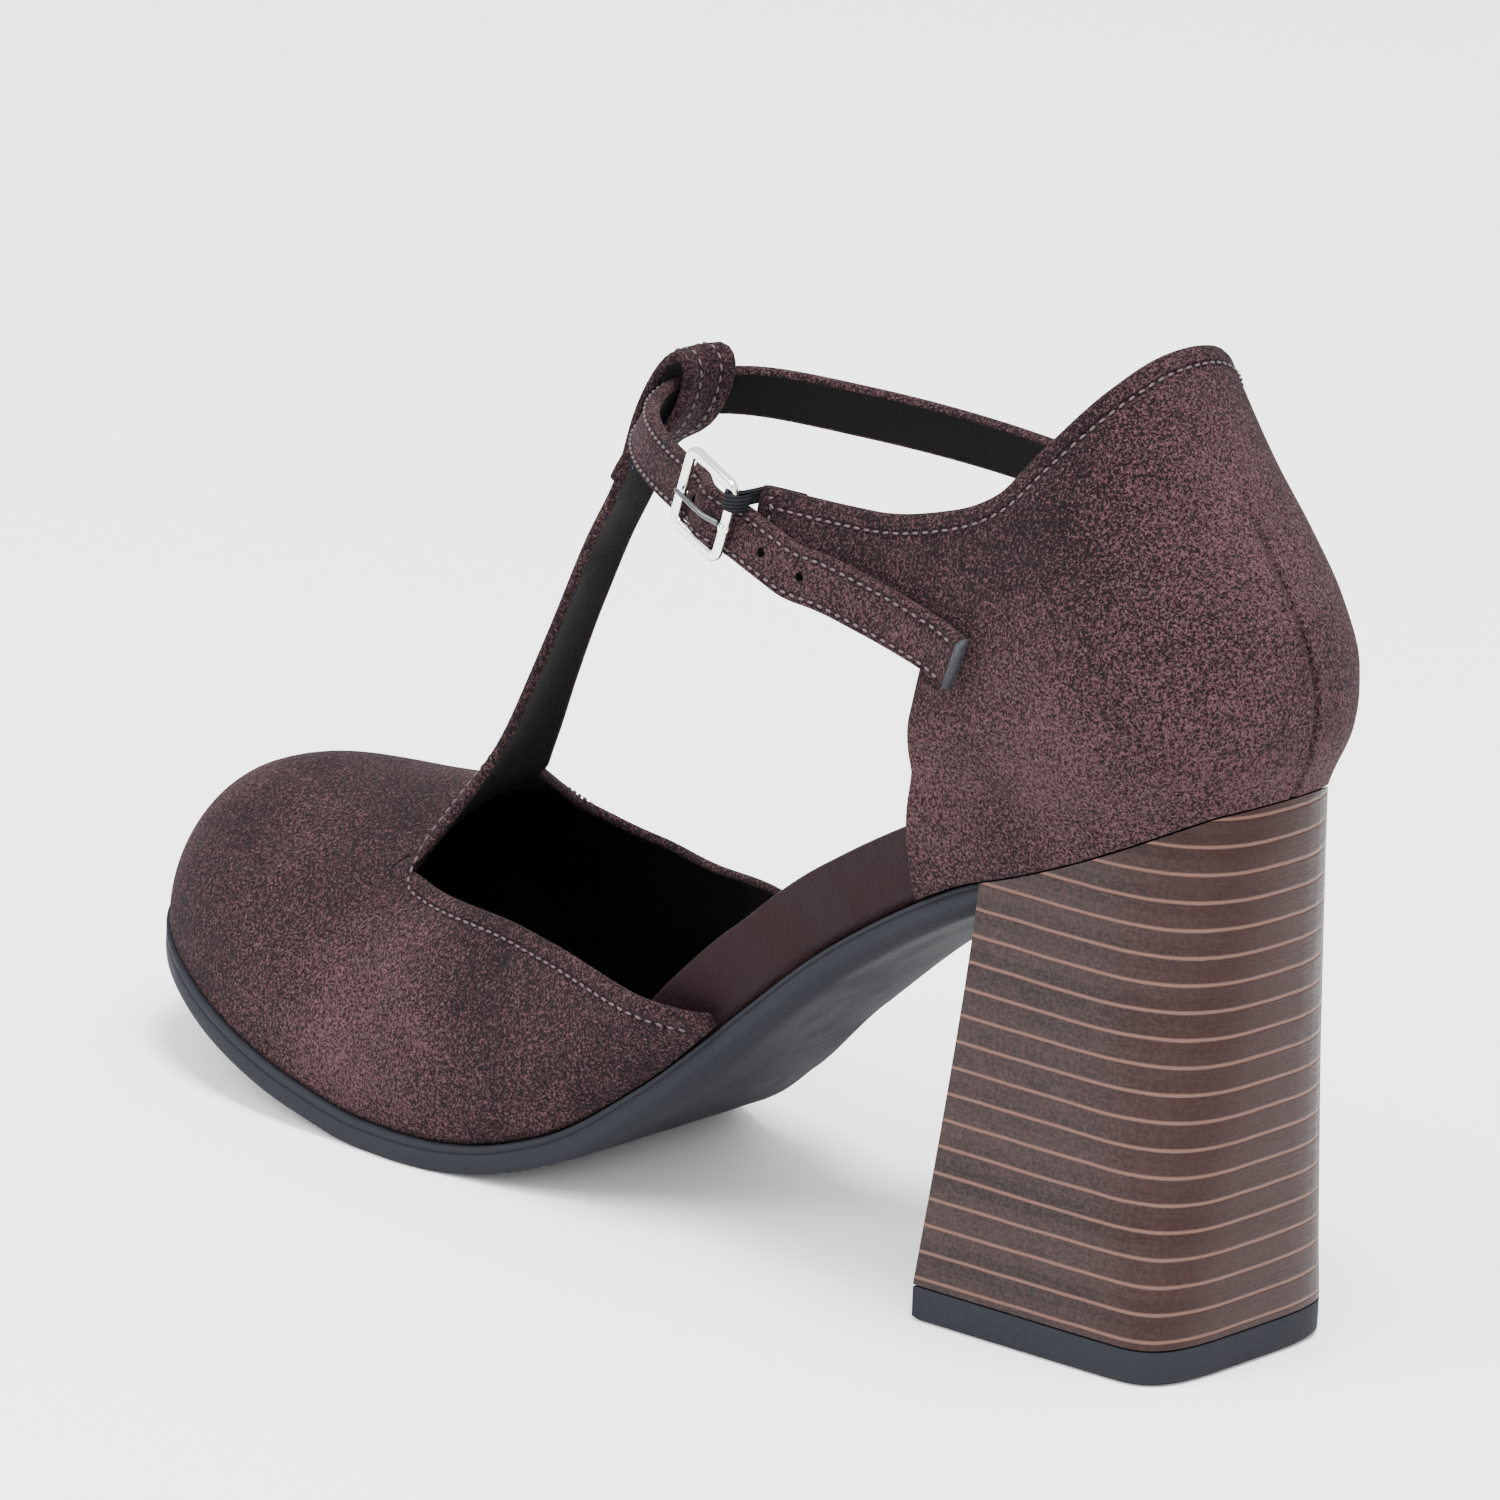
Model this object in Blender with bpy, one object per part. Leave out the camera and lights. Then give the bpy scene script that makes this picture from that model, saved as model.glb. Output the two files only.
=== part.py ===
"""T-strap shoe with a block heel, for the left foot.

Units are metres, +Z is up and the toe points along -Y. The origin is on the floor,
under the middle of the heel's top piece. +X is the outer side, where the buckle is.
Inside the script a shoe point is (across, along, up): across is positive on the outer
side, and along is measured from the back of the heel towards the toe.
"""

import bpy
import bmesh
import math
import numpy as np

for item in list(bpy.data.objects):
    bpy.data.objects.remove(item, do_unlink=True)

# Lengths and heights of the last
SOLE_LENGTH = 0.2295
SEAT_HEIGHT = 0.088
TOE_SPRING = 0.0185
BALL_WIDTH = 0.072
WAIST_WIDTH = 0.040
SEAT_WIDTH = 0.043
SEAT_BACK = 0.0035
ANKLE_WIDTH = 0.057
VAMP_HEIGHT = 0.050
BACK_HEIGHT = 0.0722
BACK_BULGE = 0.0075

# Thicknesses
WALL = 0.0018
CLEARANCE = 0.0003
OUTSOLE_THICKNESS = 0.0046
OUTSOLE_WAIST_THICKNESS = 0.0032
OUTSOLE_LEDGE = 0.0012
RIM_THICKNESS = 0.0115
FOOTBED_THICKNESS = 0.0040
FOOTBED_DISH = 0.0018

# Heel block
HEEL_BASE_WIDTH = 0.0496
HEEL_BASE_BACK_WIDTH = 0.044
HEEL_BASE_DEPTH = 0.0485
HEEL_BASE_BACK = 0.0012
BREAST_SHARE = 0.173
TOP_PIECE_HEIGHT = 0.0055
TOP_PIECE_CHAMFER = 0.0006

# Strap, T-bar and buckle
STRAP_WIDTH = 0.0090
STRAP_THICKNESS = 0.0022
STRAP_REACH = 0.1265
STRAP_HEIGHT = SEAT_HEIGHT + 0.561 * BACK_HEIGHT
T_BAR_WIDTH = 0.0095
BUCKLE_LENGTH = 0.0135
BUCKLE_HEIGHT = 0.0150
BUCKLE_BAR = 0.0019
BUCKLE_THICKNESS = 0.0014
BUCKLE_CORNER = 0.0026
PRONG_THICKNESS = 0.0011
ELASTIC_WIDTH = 0.0032
ELASTIC_THICKNESS = 0.0010

# Where things stand along the shoe, as shares of the sole's length
QUARTER_FRONT = 0.228
VAMP_BACK = 0.414
THROAT = 0.737
TOE_ROUND_START = 0.76
SEAT_ROUND_END = 0.10
TURN_BACK = 0.315
TURN_POWER = 1.95

HEEL_MIDDLE = HEEL_BASE_DEPTH / 2 - HEEL_BASE_BACK

# Sole plan: share of length, middle line across, half width
PLAN_ROWS = (
    (0.00, 0.000 * BALL_WIDTH, 0.490 * SEAT_WIDTH),
    (0.10, 0.004 * BALL_WIDTH, 0.500 * SEAT_WIDTH),
    (0.20, 0.012 * BALL_WIDTH, 0.498 * SEAT_WIDTH),
    (0.30, 0.018 * BALL_WIDTH, 0.502 * WAIST_WIDTH),
    (0.40, 0.014 * BALL_WIDTH, 0.500 * WAIST_WIDTH),
    (0.50, 0.000 * BALL_WIDTH, 0.322 * BALL_WIDTH),
    (0.60, -0.030 * BALL_WIDTH, 0.419 * BALL_WIDTH),
    (0.68, -0.056 * BALL_WIDTH, 0.483 * BALL_WIDTH),
    (0.76, -0.066 * BALL_WIDTH, 0.486 * BALL_WIDTH),
    (0.84, -0.064 * BALL_WIDTH, 0.474 * BALL_WIDTH),
    (0.92, -0.058 * BALL_WIDTH, 0.445 * BALL_WIDTH),
    (1.00, -0.050 * BALL_WIDTH, 0.410 * BALL_WIDTH),
)

# Feather line: share of length, share of the seat's rise, share of the toe spring
RISE_ROWS = (
    (0.000, 1.036, 0.00),
    (0.045, 0.970, 0.00),
    (0.090, 0.910, 0.00),
    (0.142, 0.849, 0.00),
    (0.190, 0.800, 0.00),
    (0.243, 0.721, 0.00),
    (0.319, 0.583, 0.00),
    (0.398, 0.399, 0.00),
    (0.474, 0.208, 0.00),
    (0.553, 0.060, 0.00),
    (0.615, 0.008, 0.00),
    (0.645, 0.000, 0.00),
    (0.705, 0.000, 0.00),
    (0.774, 0.000, 0.14),
    (0.863, 0.000, 0.44),
    (0.929, 0.000, 0.71),
    (1.000, 0.000, 1.00),
)

# Vamp: share of length, crest above the feather, crest's shift to the inside, wall's overhang
VAMP_ROWS = (
    (0.42, 1.36 * VAMP_HEIGHT, 0.050 * BALL_WIDTH, 0.085 * BALL_WIDTH),
    (0.50, 1.26 * VAMP_HEIGHT, 0.050 * BALL_WIDTH, 0.070 * BALL_WIDTH),
    (0.60, 1.12 * VAMP_HEIGHT, 0.048 * BALL_WIDTH, 0.042 * BALL_WIDTH),
    (0.68, 1.02 * VAMP_HEIGHT, 0.044 * BALL_WIDTH, 0.026 * BALL_WIDTH),
    (0.757, 0.905 * VAMP_HEIGHT, 0.036 * BALL_WIDTH, 0.020 * BALL_WIDTH),
    (0.85, 0.765 * VAMP_HEIGHT, 0.020 * BALL_WIDTH, 0.018 * BALL_WIDTH),
    (0.94, 0.690 * VAMP_HEIGHT, 0.006 * BALL_WIDTH, 0.014 * BALL_WIDTH),
    (1.00, 0.63 * VAMP_HEIGHT, 0.000 * BALL_WIDTH, 0.010 * BALL_WIDTH),
)

# Vamp topline behind the throat: share of length, height on the outer side, on the inner side
TOPLINE_ROWS = (
    (0.416, 0.716 * VAMP_HEIGHT, 0.716 * VAMP_HEIGHT),
    (0.454, 0.744 * VAMP_HEIGHT, 0.740 * VAMP_HEIGHT),
    (0.503, 0.776 * VAMP_HEIGHT, 0.770 * VAMP_HEIGHT),
    (0.561, 0.808 * VAMP_HEIGHT, 0.800 * VAMP_HEIGHT),
    (0.624, 0.822 * VAMP_HEIGHT, 0.790 * VAMP_HEIGHT),
    (0.688, 0.822 * VAMP_HEIGHT, 0.825 * VAMP_HEIGHT),
    (0.737, 0.840 * VAMP_HEIGHT, 0.910 * VAMP_HEIGHT),
)

# Quarter: share of the back's height, back edge forward, half width, depth of the round back
QUARTER_ROWS = (
    (0.00, -0.46 * BACK_BULGE, 0.420 * ANKLE_WIDTH, 0.46 * ANKLE_WIDTH),
    (0.07, -0.82 * BACK_BULGE, 0.462 * ANKLE_WIDTH, 0.50 * ANKLE_WIDTH),
    (0.16, -1.02 * BACK_BULGE, 0.500 * ANKLE_WIDTH, 0.55 * ANKLE_WIDTH),
    (0.30, -0.96 * BACK_BULGE, 0.512 * ANKLE_WIDTH, 0.57 * ANKLE_WIDTH),
    (0.43, -0.48 * BACK_BULGE, 0.498 * ANKLE_WIDTH, 0.55 * ANKLE_WIDTH),
    (0.56, 0.34 * BACK_BULGE, 0.468 * ANKLE_WIDTH, 0.51 * ANKLE_WIDTH),
    (0.70, 1.30 * BACK_BULGE, 0.420 * ANKLE_WIDTH, 0.46 * ANKLE_WIDTH),
    (0.85, 2.15 * BACK_BULGE, 0.370 * ANKLE_WIDTH, 0.41 * ANKLE_WIDTH),
    (1.00, 2.95 * BACK_BULGE, 0.330 * ANKLE_WIDTH, 0.37 * ANKLE_WIDTH),
)

# Quarter's topline: share of length, share of the back's height above the seat
COLLAR_ROWS = (
    (0.060, 1.020),
    (0.088, 0.985),
    (0.104, 0.915),
    (0.138, 0.762),
    (0.162, 0.665),
    (0.197, 0.607),
    (0.261, 0.562),
    (0.326, 0.556),
    (0.375, 0.555),
)

# Quarter's front edge: share of the back's height above the seat, share of length
FRONT_ROWS = (
    (-0.320, 0.2280),
    (-0.110, 0.2300),
    (0.065, 0.2226),
    (0.200, 0.2100),
    (0.300, 0.2033),
    (0.400, 0.2072),
    (0.600, 0.2122),
)

# Tab that runs forward from the quarter: share of length, height of its lower edge
OUTER_TAB_ROWS = (
    (0.203, 0.300),
    (0.213, 0.348),
    (0.232, 0.382),
    (0.266, 0.410),
    (0.311, 0.440),
    (0.358, 0.468),
)
INNER_TAB_ROWS = (
    (0.203, 0.300),
    (0.211, 0.346),
    (0.225, 0.386),
    (0.245, 0.416),
    (0.266, 0.434),
    (0.291, 0.444),
)

# Ankle strap round the front: share of the turn, height of its middle as a share of STRAP_HEIGHT
STRAP_TURN_ROWS = (
    (-1.00, 0.976),
    (-0.60, 0.990),
    (-0.25, 1.003),
    (0.00, 1.000),
    (0.30, 0.990),
    (0.55, 0.978),
    (0.72, 0.963),
    (0.86, 0.941),
    (1.00, 0.914),
)

# Strap tail outside the quarter: share of length, height as a share of STRAP_HEIGHT
STRAP_TAIL_ROWS = (
    (0.166, 0.860),
    (0.197, 0.877),
    (0.254, 0.900),
    (0.296, 0.912),
    (0.326, 0.914),
)

# Front of the T-bar: share of STRAP_REACH, share of STRAP_HEIGHT, share of T_BAR_WIDTH
T_BAR_ROWS = (
    (1.296, 0.4460, 0.90),
    (1.254, 0.5040, 0.70),
    (1.214, 0.5900, 0.57),
    (1.165, 0.7000, 0.50),
    (1.116, 0.8100, 0.50),
    (1.072, 0.8900, 0.50),
)
T_BAR_LEAN = math.radians(30)
T_BAR_FOLD = 0.0075
T_BAR_SLACK = 0.0020


def smooth_curve(stations, values):
    """A monotone cubic through the rows of a table, read by the function it returns."""
    x = np.asarray(stations, dtype=float)
    y = np.asarray(values, dtype=float)
    step = np.diff(x)
    rate = np.diff(y) / step
    slope = np.zeros(len(x))
    same_way = rate[:-1] * rate[1:] > 0
    before = 2 * step[1:] + step[:-1]
    after = step[1:] + 2 * step[:-1]
    safe_before = np.where(same_way, rate[:-1], 1)
    safe_after = np.where(same_way, rate[1:], 1)
    mean = (before + after) / (before / safe_before + after / safe_after)
    slope[1:-1] = np.where(same_way, mean, 0)
    slope[0] = rate[0]
    slope[-1] = rate[-1]

    def read(at):
        at = np.clip(at, x[0], x[-1])
        row = np.clip(np.searchsorted(x, at, side="right") - 1, 0, len(x) - 2)
        t = (at - x[row]) / step[row]
        ease = t * t * (3 - 2 * t)
        start = t * (1 - t) ** 2 * step[row]
        end = t * t * (t - 1) * step[row]
        return y[row] * (1 - ease) + y[row + 1] * ease + slope[row] * start + slope[row + 1] * end

    return read


def column(rows, index, first=0):
    """One column of a table, as a smooth function of its first column."""
    return smooth_curve([row[first] for row in rows], [row[index] for row in rows])


plan_middle = column(PLAN_ROWS, 1)
plan_half = column(PLAN_ROWS, 2)
heel_rise = column(RISE_ROWS, 1)
toe_rise = column(RISE_ROWS, 2)
crest_height = column(VAMP_ROWS, 1)
crest_shift = column(VAMP_ROWS, 2)
vamp_overhang = column(VAMP_ROWS, 3)
back_edge = column(QUARTER_ROWS, 1)
quarter_half = column(QUARTER_ROWS, 2)
quarter_round = column(QUARTER_ROWS, 3)
collar_height = column(COLLAR_ROWS, 1)
front_edge = column(FRONT_ROWS, 1)

OUTER = 1
INNER = -1
ROUND_POWER = 2.5


def end_round(gap, power=ROUND_POWER):
    """Width left at a rounded end, where gap runs from 1 at the tip to 0 inside."""
    gap = np.clip(gap, 0, 1)
    return (1 - gap ** power) ** (1 / power)


def feather_half(share):
    """Half width of the sole plan at a share of its length."""
    toe = end_round((share - TOE_ROUND_START) / (1 - TOE_ROUND_START))
    behind = SEAT_BACK / SOLE_LENGTH
    seat = end_round(1 - (share + behind) / (SEAT_ROUND_END + behind))
    return plan_half(share) * toe * seat


def feather_height(along):
    """Height of the feather line, where the upper stands on the sole."""
    share = np.clip(along / SOLE_LENGTH, 0, 1)
    behind = np.maximum(-along / SOLE_LENGTH, 0)
    rise = SEAT_HEIGHT - OUTSOLE_THICKNESS
    return OUTSOLE_THICKNESS + rise * (heel_rise(share) + behind) + TOE_SPRING * toe_rise(share)


def seat_round(turn):
    """Place along the seat's rounded back, for a turn from its middle to its side."""
    depth = SEAT_ROUND_END * SOLE_LENGTH + SEAT_BACK
    return depth * (1 - np.cos(turn) ** (2 / ROUND_POWER)) - SEAT_BACK


def feather_slope(along):
    """How much longer the feather line is than its plan, from its slope."""
    step = 0.001
    climb = (feather_height(along + step) - feather_height(along - step)) / (2 * step)
    return np.sqrt(1 + climb ** 2)


def feather_point(side, share):
    """A point of the sole plan's edge: across and along."""
    return plan_middle(share) + side * feather_half(share), share * SOLE_LENGTH


def to_world(points):
    """Shoe points (across, along, up) to world points, with the toe along -Y."""
    points = np.asarray(points, dtype=float)
    world = points.copy()
    world[:, 1] = HEEL_MIDDLE - points[:, 1]
    return world


def add_material(name, colour, roughness, metallic=0.0):
    """A Principled material."""
    material = bpy.data.materials.new(name)
    material.use_nodes = True
    shader = material.node_tree.nodes["Principled BSDF"]
    shader.inputs["Base Color"].default_value = (*colour, 1.0)
    shader.inputs["Roughness"].default_value = roughness
    shader.inputs["Metallic"].default_value = metallic
    return material


SUEDE = add_material("brown_suede", (0.070, 0.040, 0.040), 0.95)
COVERED_RIM = add_material("covered_rim", (0.055, 0.028, 0.028), 0.8)
STACKED_HEEL = add_material("stacked_heel", (0.085, 0.045, 0.032), 0.45)
BLACK_RUBBER = add_material("black_rubber", (0.020, 0.021, 0.024), 0.55)
SILVER_METAL = add_material("silver_metal", (0.80, 0.79, 0.76), 0.22, 1.0)
BLACK_ELASTIC = add_material("black_elastic", (0.015, 0.015, 0.017), 0.85)


def add_solid(name, points, faces, material, sharp=35):
    """One closed body, with its faces turned outwards and smooth shading."""
    mesh = bpy.data.meshes.new(name)
    mesh.from_pydata(to_world(points).tolist(), [], [tuple(int(i) for i in face) for face in faces])
    mesh.validate()
    work = bmesh.new()
    work.from_mesh(mesh)
    bmesh.ops.recalc_face_normals(work, faces=work.faces)
    if work.calc_volume(signed=True) < 0:
        bmesh.ops.reverse_faces(work, faces=work.faces)
    work.to_mesh(mesh)
    work.free()
    mesh.materials.append(material)
    mesh.shade_smooth()
    mesh.set_sharp_from_angle(angle=math.radians(sharp))
    thing = bpy.data.objects.new(name, mesh)
    bpy.context.collection.objects.link(thing)
    return thing


def point_normals(points, faces):
    """Unit normals of a surface at its points, weighted by the faces' areas."""
    normals = np.zeros_like(points)
    for face in faces:
        corner = points[list(face)]
        following = np.roll(corner, -1, axis=0)
        normal = np.cross(corner, following).sum(axis=0)
        for index in face:
            normals[index] += normal
    return normals / np.linalg.norm(normals, axis=1)[:, None]


def thicken(points, faces, wall):
    """A closed wall from an open surface: the inner side lies one wall inside it."""
    count = len(points)
    normals = point_normals(points, faces)
    inside = np.sum(normals * (points - points.mean(axis=0))) < 0
    inner = points + normals * (wall if inside else -wall)
    edges = {}
    for face in faces:
        for a, b in zip(face, face[1:] + face[:1]):
            edges[(a, b)] = True
    solid = list(faces)
    solid += [tuple(index + count for index in reversed(face)) for face in faces]
    for a, b in edges:
        if (b, a) not in edges:
            solid.append((b, a, a + count, b + count))
    return np.vstack([points, inner]), solid


def grid_faces(rows):
    """Quads between rows of point numbers, all of one length."""
    faces = []
    for low, high in zip(rows, rows[1:]):
        for i in range(len(low) - 1):
            faces.append((low[i], low[i + 1], high[i + 1], high[i]))
    return faces


def tidy_faces(faces):
    """The same faces with repeated corners dropped."""
    kept = []
    for face in faces:
        corners = [c for i, c in enumerate(face) if c != face[i - 1]]
        if len(corners) > 2:
            kept.append(tuple(corners))
    return kept


def loft(rings, close_ends=True):
    """Points and faces of a body through rings of equal length, closed at its two ends."""
    size = len(rings[0])
    points = np.vstack(rings)
    faces = []
    for k in range(len(rings) - 1):
        for i in range(size):
            j = (i + 1) % size
            faces.append((k * size + i, k * size + j, (k + 1) * size + j, (k + 1) * size + i))
    if close_ends:
        faces.append(tuple(range(size)))
        last = (len(rings) - 1) * size
        faces.append(tuple(last + i for i in range(size)))
    return points, faces


def spaced_shares(start, end, count):
    """Shares along the shoe, closer together towards the end."""
    turn = np.linspace(0, math.pi / 2, count)
    return start + (end - start) * np.sin(turn)


def round_turn(count):
    """Angles from the middle of a rounded back to its side."""
    return np.linspace(0, math.pi / 2, count)


# Outsole
def outsole_stations():
    """Shares along the outsole, with one at each end of the flat spot under the ball."""
    waist = np.linspace(BREAST_SHARE, 0.645, 16)
    ball = np.array([0.675, 0.705])
    toe = spaced_shares(0.705, 1.0, 15)[1:]
    return np.concatenate([waist, ball, toe])


def outsole_thickness(share):
    """Thickness of the outsole's edge: thin in the waist, full in the forepart."""
    full = smooth_curve([BREAST_SHARE, 0.42, 0.56, 1.0], [0, 0, 1, 1])(share)
    return OUTSOLE_WAIST_THICKNESS + (OUTSOLE_THICKNESS - OUTSOLE_WAIST_THICKNESS) * full


def sole_ledge(share):
    """How far the outsole stands out past the feather line."""
    shape = smooth_curve([0.0, 0.24, 0.40, 0.46, 0.56, 1.0], [-0.2, -1.0, -1.0, 0.2, 1.0, 1.0])
    return OUTSOLE_LEDGE * shape(share)


def breast_along(height):
    """Where the heel's front face stands at a height: it slopes forward to the floor."""
    top = BREAST_SHARE * SOLE_LENGTH
    fall = (feather_height(top) - height) / feather_height(top)
    return top + (HEEL_BASE_DEPTH - HEEL_BASE_BACK - top) * fall


def outsole_ring(share):
    """A section across the outsole: flat on top, with bevelled lower edges in the waist."""
    along = share * SOLE_LENGTH
    half = feather_half(share)
    tip = 1 - end_round((share - TOE_ROUND_START) / (1 - TOE_ROUND_START))
    out = half + sole_ledge(share) * (1 - tip)
    middle = plan_middle(share)
    top = feather_height(along)
    edge = outsole_thickness(share) * feather_slope(along)
    core = (OUTSOLE_THICKNESS + CLEARANCE) * feather_slope(along)
    bevel = 0.16 * out
    forepart = smooth_curve([BREAST_SHARE, 0.50, 0.60, 1.0], [0, 0, 1, 1])(share)
    deep = core + (edge - core) * forepart
    soft = 0.0005 * (1 - tip)
    return np.array([
        (middle - out, along, top),
        (middle, along, top),
        (middle + out, along, top),
        (middle + out, along, top - edge + soft),
        (middle + out - soft, along, top - edge),
        (middle + out - bevel, along, top - deep),
        (middle, along, top - deep),
        (middle - out + bevel, along, top - deep),
        (middle - out + soft, along, top - edge),
        (middle - out, along, top - edge + soft),
    ])


def make_outsole():
    """The outsole, from the heel's front face to the toe."""
    stations = outsole_stations()
    stations[-1] = 0.9985
    rings = [outsole_ring(share) for share in stations]
    ahead = SOLE_LENGTH * (1 - stations[-1])
    for ring in rings[-3:]:
        ring[:, 1] += ahead
    nose = rings[-1].copy()
    nose[:, 0] = nose[:, 0].mean() + (nose[:, 0] - nose[:, 0].mean()) * 0.45
    nose[:, 1] += OUTSOLE_LEDGE
    rings.append(nose)
    rings[0][:, 1] = breast_along(rings[0][:, 2]) + 2 * CLEARANCE
    rings[0][:3, 2] = feather_height(rings[0][:3, 1])
    points, faces = loft(rings)
    return add_solid("outsole", points, faces, BLACK_RUBBER)


# Heel block and its top piece
def heel_base_edge(turn, power=4.0):
    """Half width and place along of the heel's base, for a turn from its back to its side."""
    corner = 0.26 * HEEL_BASE_DEPTH
    across = np.sin(turn) ** (2 / power)
    along = corner * (1 - np.cos(turn) ** (2 / power)) - HEEL_BASE_BACK
    return across * base_half(along), along


def base_half(along):
    """Half width of the heel's base without its round corners."""
    slope = (HEEL_BASE_WIDTH - HEEL_BASE_BACK_WIDTH) / 2 / HEEL_BASE_DEPTH
    return HEEL_BASE_BACK_WIDTH / 2 + slope * (along + HEEL_BASE_BACK)


HEEL_TURN_COUNT = 11
HEEL_SIDE_COUNT = 5


def heel_rows():
    """Matching half-plan points of the heel's base and seat, from the back to the front."""
    turn = round_turn(HEEL_TURN_COUNT)
    half, along = heel_base_edge(turn)
    base_side = np.linspace(along[-1], HEEL_BASE_DEPTH - HEEL_BASE_BACK, HEEL_SIDE_COUNT + 1)[1:]
    base_along = np.concatenate([along, base_side])
    base_across = np.concatenate([half, base_half(base_side)])
    seat_end = SEAT_ROUND_END * SOLE_LENGTH
    top = BREAST_SHARE * SOLE_LENGTH
    seat_side = np.linspace(seat_end, top, HEEL_SIDE_COUNT + 1)[1:]
    seat_along = np.concatenate([seat_round(turn), seat_side])
    seat_share = seat_along / SOLE_LENGTH
    return base_across, base_along, feather_half(seat_share), seat_along


def side_pair(half, middle):
    """Both sides of a half plan, outer side first, round to the inner side."""
    outer = (middle + half)[::-1]
    inner = (middle - half)[1:]
    return np.concatenate([outer, inner])


def both_ways(values):
    """A half plan's values for the outer side back to front reversed, then the inner side."""
    return np.concatenate([values[::-1], values[1:]])


def heel_plan(rise):
    """A ring of the heel block at a share of its height, front corner to front corner."""
    base_across, base_along, seat_across, seat_along = heel_rows()
    middle = plan_middle(seat_along / SOLE_LENGTH)
    flare = (1 - rise) ** 1.15
    across = seat_across + (base_across - seat_across) * flare
    along = seat_along + (base_along - seat_along) * flare
    foot = TOP_PIECE_HEIGHT + CLEARANCE
    up = foot + (feather_height(seat_along) - foot) * rise
    return np.stack([side_pair(across, middle * rise), both_ways(along), both_ways(up)], axis=-1)


def cap_strips(first, size):
    """Faces across a ring from its outer half to its inner half."""
    faces = []
    for i in range(size // 2):
        faces.append((first + i, first + i + 1, first + size - 2 - i, first + size - 1 - i))
    return tidy_faces(faces)


def make_heel():
    """The heel block, cut by the seat above and flat below."""
    rings = [heel_plan(rise) for rise in np.linspace(0, 1, 9)]
    size = len(rings[0])
    points, faces = loft(rings, close_ends=False)
    faces += cap_strips(0, size)
    faces += cap_strips((len(rings) - 1) * size, size)
    return add_solid("heel", points, faces, STACKED_HEEL, 30)


def make_top_piece():
    """The rubber top piece under the heel, flat on the floor."""
    base_across, base_along, _, _ = heel_rows()
    rings = []
    for inset, up in ((TOP_PIECE_CHAMFER, 0), (0, TOP_PIECE_CHAMFER), (0, TOP_PIECE_HEIGHT)):
        shrink = 1 - 2 * inset / HEEL_BASE_WIDTH
        along = HEEL_MIDDLE + (base_along - HEEL_MIDDLE) * shrink
        across = side_pair(base_across * shrink, 0 * base_across)
        rings.append(np.stack([across, both_ways(along), np.full(len(across), up)], axis=-1))
    points, faces = loft(rings)
    return add_solid("top_piece", points, faces, BLACK_RUBBER, 30)


# Insole with its covered rim
def make_insole():
    """The insole: its thick rim shows in the waist, and its top is dished."""
    inset = WALL + 2 * CLEARANCE
    behind = SEAT_BACK / SOLE_LENGTH
    back = inset / SOLE_LENGTH - behind
    front = 1 - inset / SOLE_LENGTH
    seat = inset / SOLE_LENGTH + seat_round(round_turn(9)) / SOLE_LENGTH
    waist = np.linspace(seat[-1], THROAT, 22)[1:]
    toe = spaced_shares(THROAT, front, 13)[1:]
    rim = smooth_curve([0, 0.10, 0.22, 0.46, 0.56, 1], [0.75, 0.85, 1, 1, 0, 0])
    dish = smooth_curve([0, 0.12, 0.45, 0.60, 1], [0.9, 1, 1, 0.35, 0.2])
    rings = []
    for share in np.concatenate([seat, waist, toe]):
        along = share * SOLE_LENGTH
        stretch = (1 + behind) * (share - back) / (front - back) - behind
        half = max(feather_half(stretch) * (1 - inset / feather_half(0.3)), 0.0012)
        half = min(half, max(feather_half(share) - inset, 0.0012))
        middle = plan_middle(share)
        thick = FOOTBED_THICKNESS + (RIM_THICKNESS - FOOTBED_THICKNESS) * rim(share)
        low = feather_height(along) + CLEARANCE
        high = low + thick * feather_slope(along)
        lean = 0.10 * thick * rim(share)
        sag = FOOTBED_DISH * dish(share) * end_round(1 - half / plan_half(share))
        ring = [(middle - half, along, low), (middle, along, low), (middle + half, along, low)]
        for t in (1.0, 0.8, 0.4, 0.0, -0.4, -0.8, -1.0):
            up = high - sag * (1 - t * t)
            ring.append((middle + (half + lean) * t, along, up))
        rings.append(np.array(ring))
    points, faces = loft(rings)
    return add_solid("insole", points, faces, COVERED_RIM)


# Vamp and T-bar
TUCK_HEIGHT = 0.016
VAMP_POWER_OUTER = 1.8
VAMP_POWER_INNER = 2.3


def crest_at(share):
    """Crest above the feather line, rounded down at the toe."""
    return crest_height(share) * end_round((share - 0.78) / 0.22, 2.6)


def vamp_point(side, share, turn):
    """A point of the vamp's outer face, for a turn from the feather line up to the crest."""
    power = VAMP_POWER_OUTER if side == OUTER else VAMP_POWER_INNER
    along = share * SOLE_LENGTH
    half = feather_half(share)
    tip = end_round((share - TOE_ROUND_START) / (1 - TOE_ROUND_START))
    over = vamp_overhang(share) * tip
    shift = crest_shift(share) * tip
    reach = half + over + side * shift
    rise = crest_at(share) * np.sin(turn) ** (2 / power)
    level = np.cos(turn) ** (2 / power)
    tuck = np.clip(1 - rise / TUCK_HEIGHT, 0, 1) ** 2
    across = plan_middle(share) - shift + side * (reach * level - over * tuck)
    up = feather_height(along) + CLEARANCE + rise
    return np.array([across, along, up])


def topline_turn(side, share):
    """The turn at which the vamp's section meets its topline."""
    rows = column(TOPLINE_ROWS, 1 if side == OUTER else 2)
    power = VAMP_POWER_OUTER if side == OUTER else VAMP_POWER_INNER
    rise = max(rows(share) - feather_height(share * SOLE_LENGTH), 0.0016)
    return math.asin(min(rise / crest_at(share), 1) ** (power / 2))


WING_COLUMNS = 9
BAR_COLUMNS = 6


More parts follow.
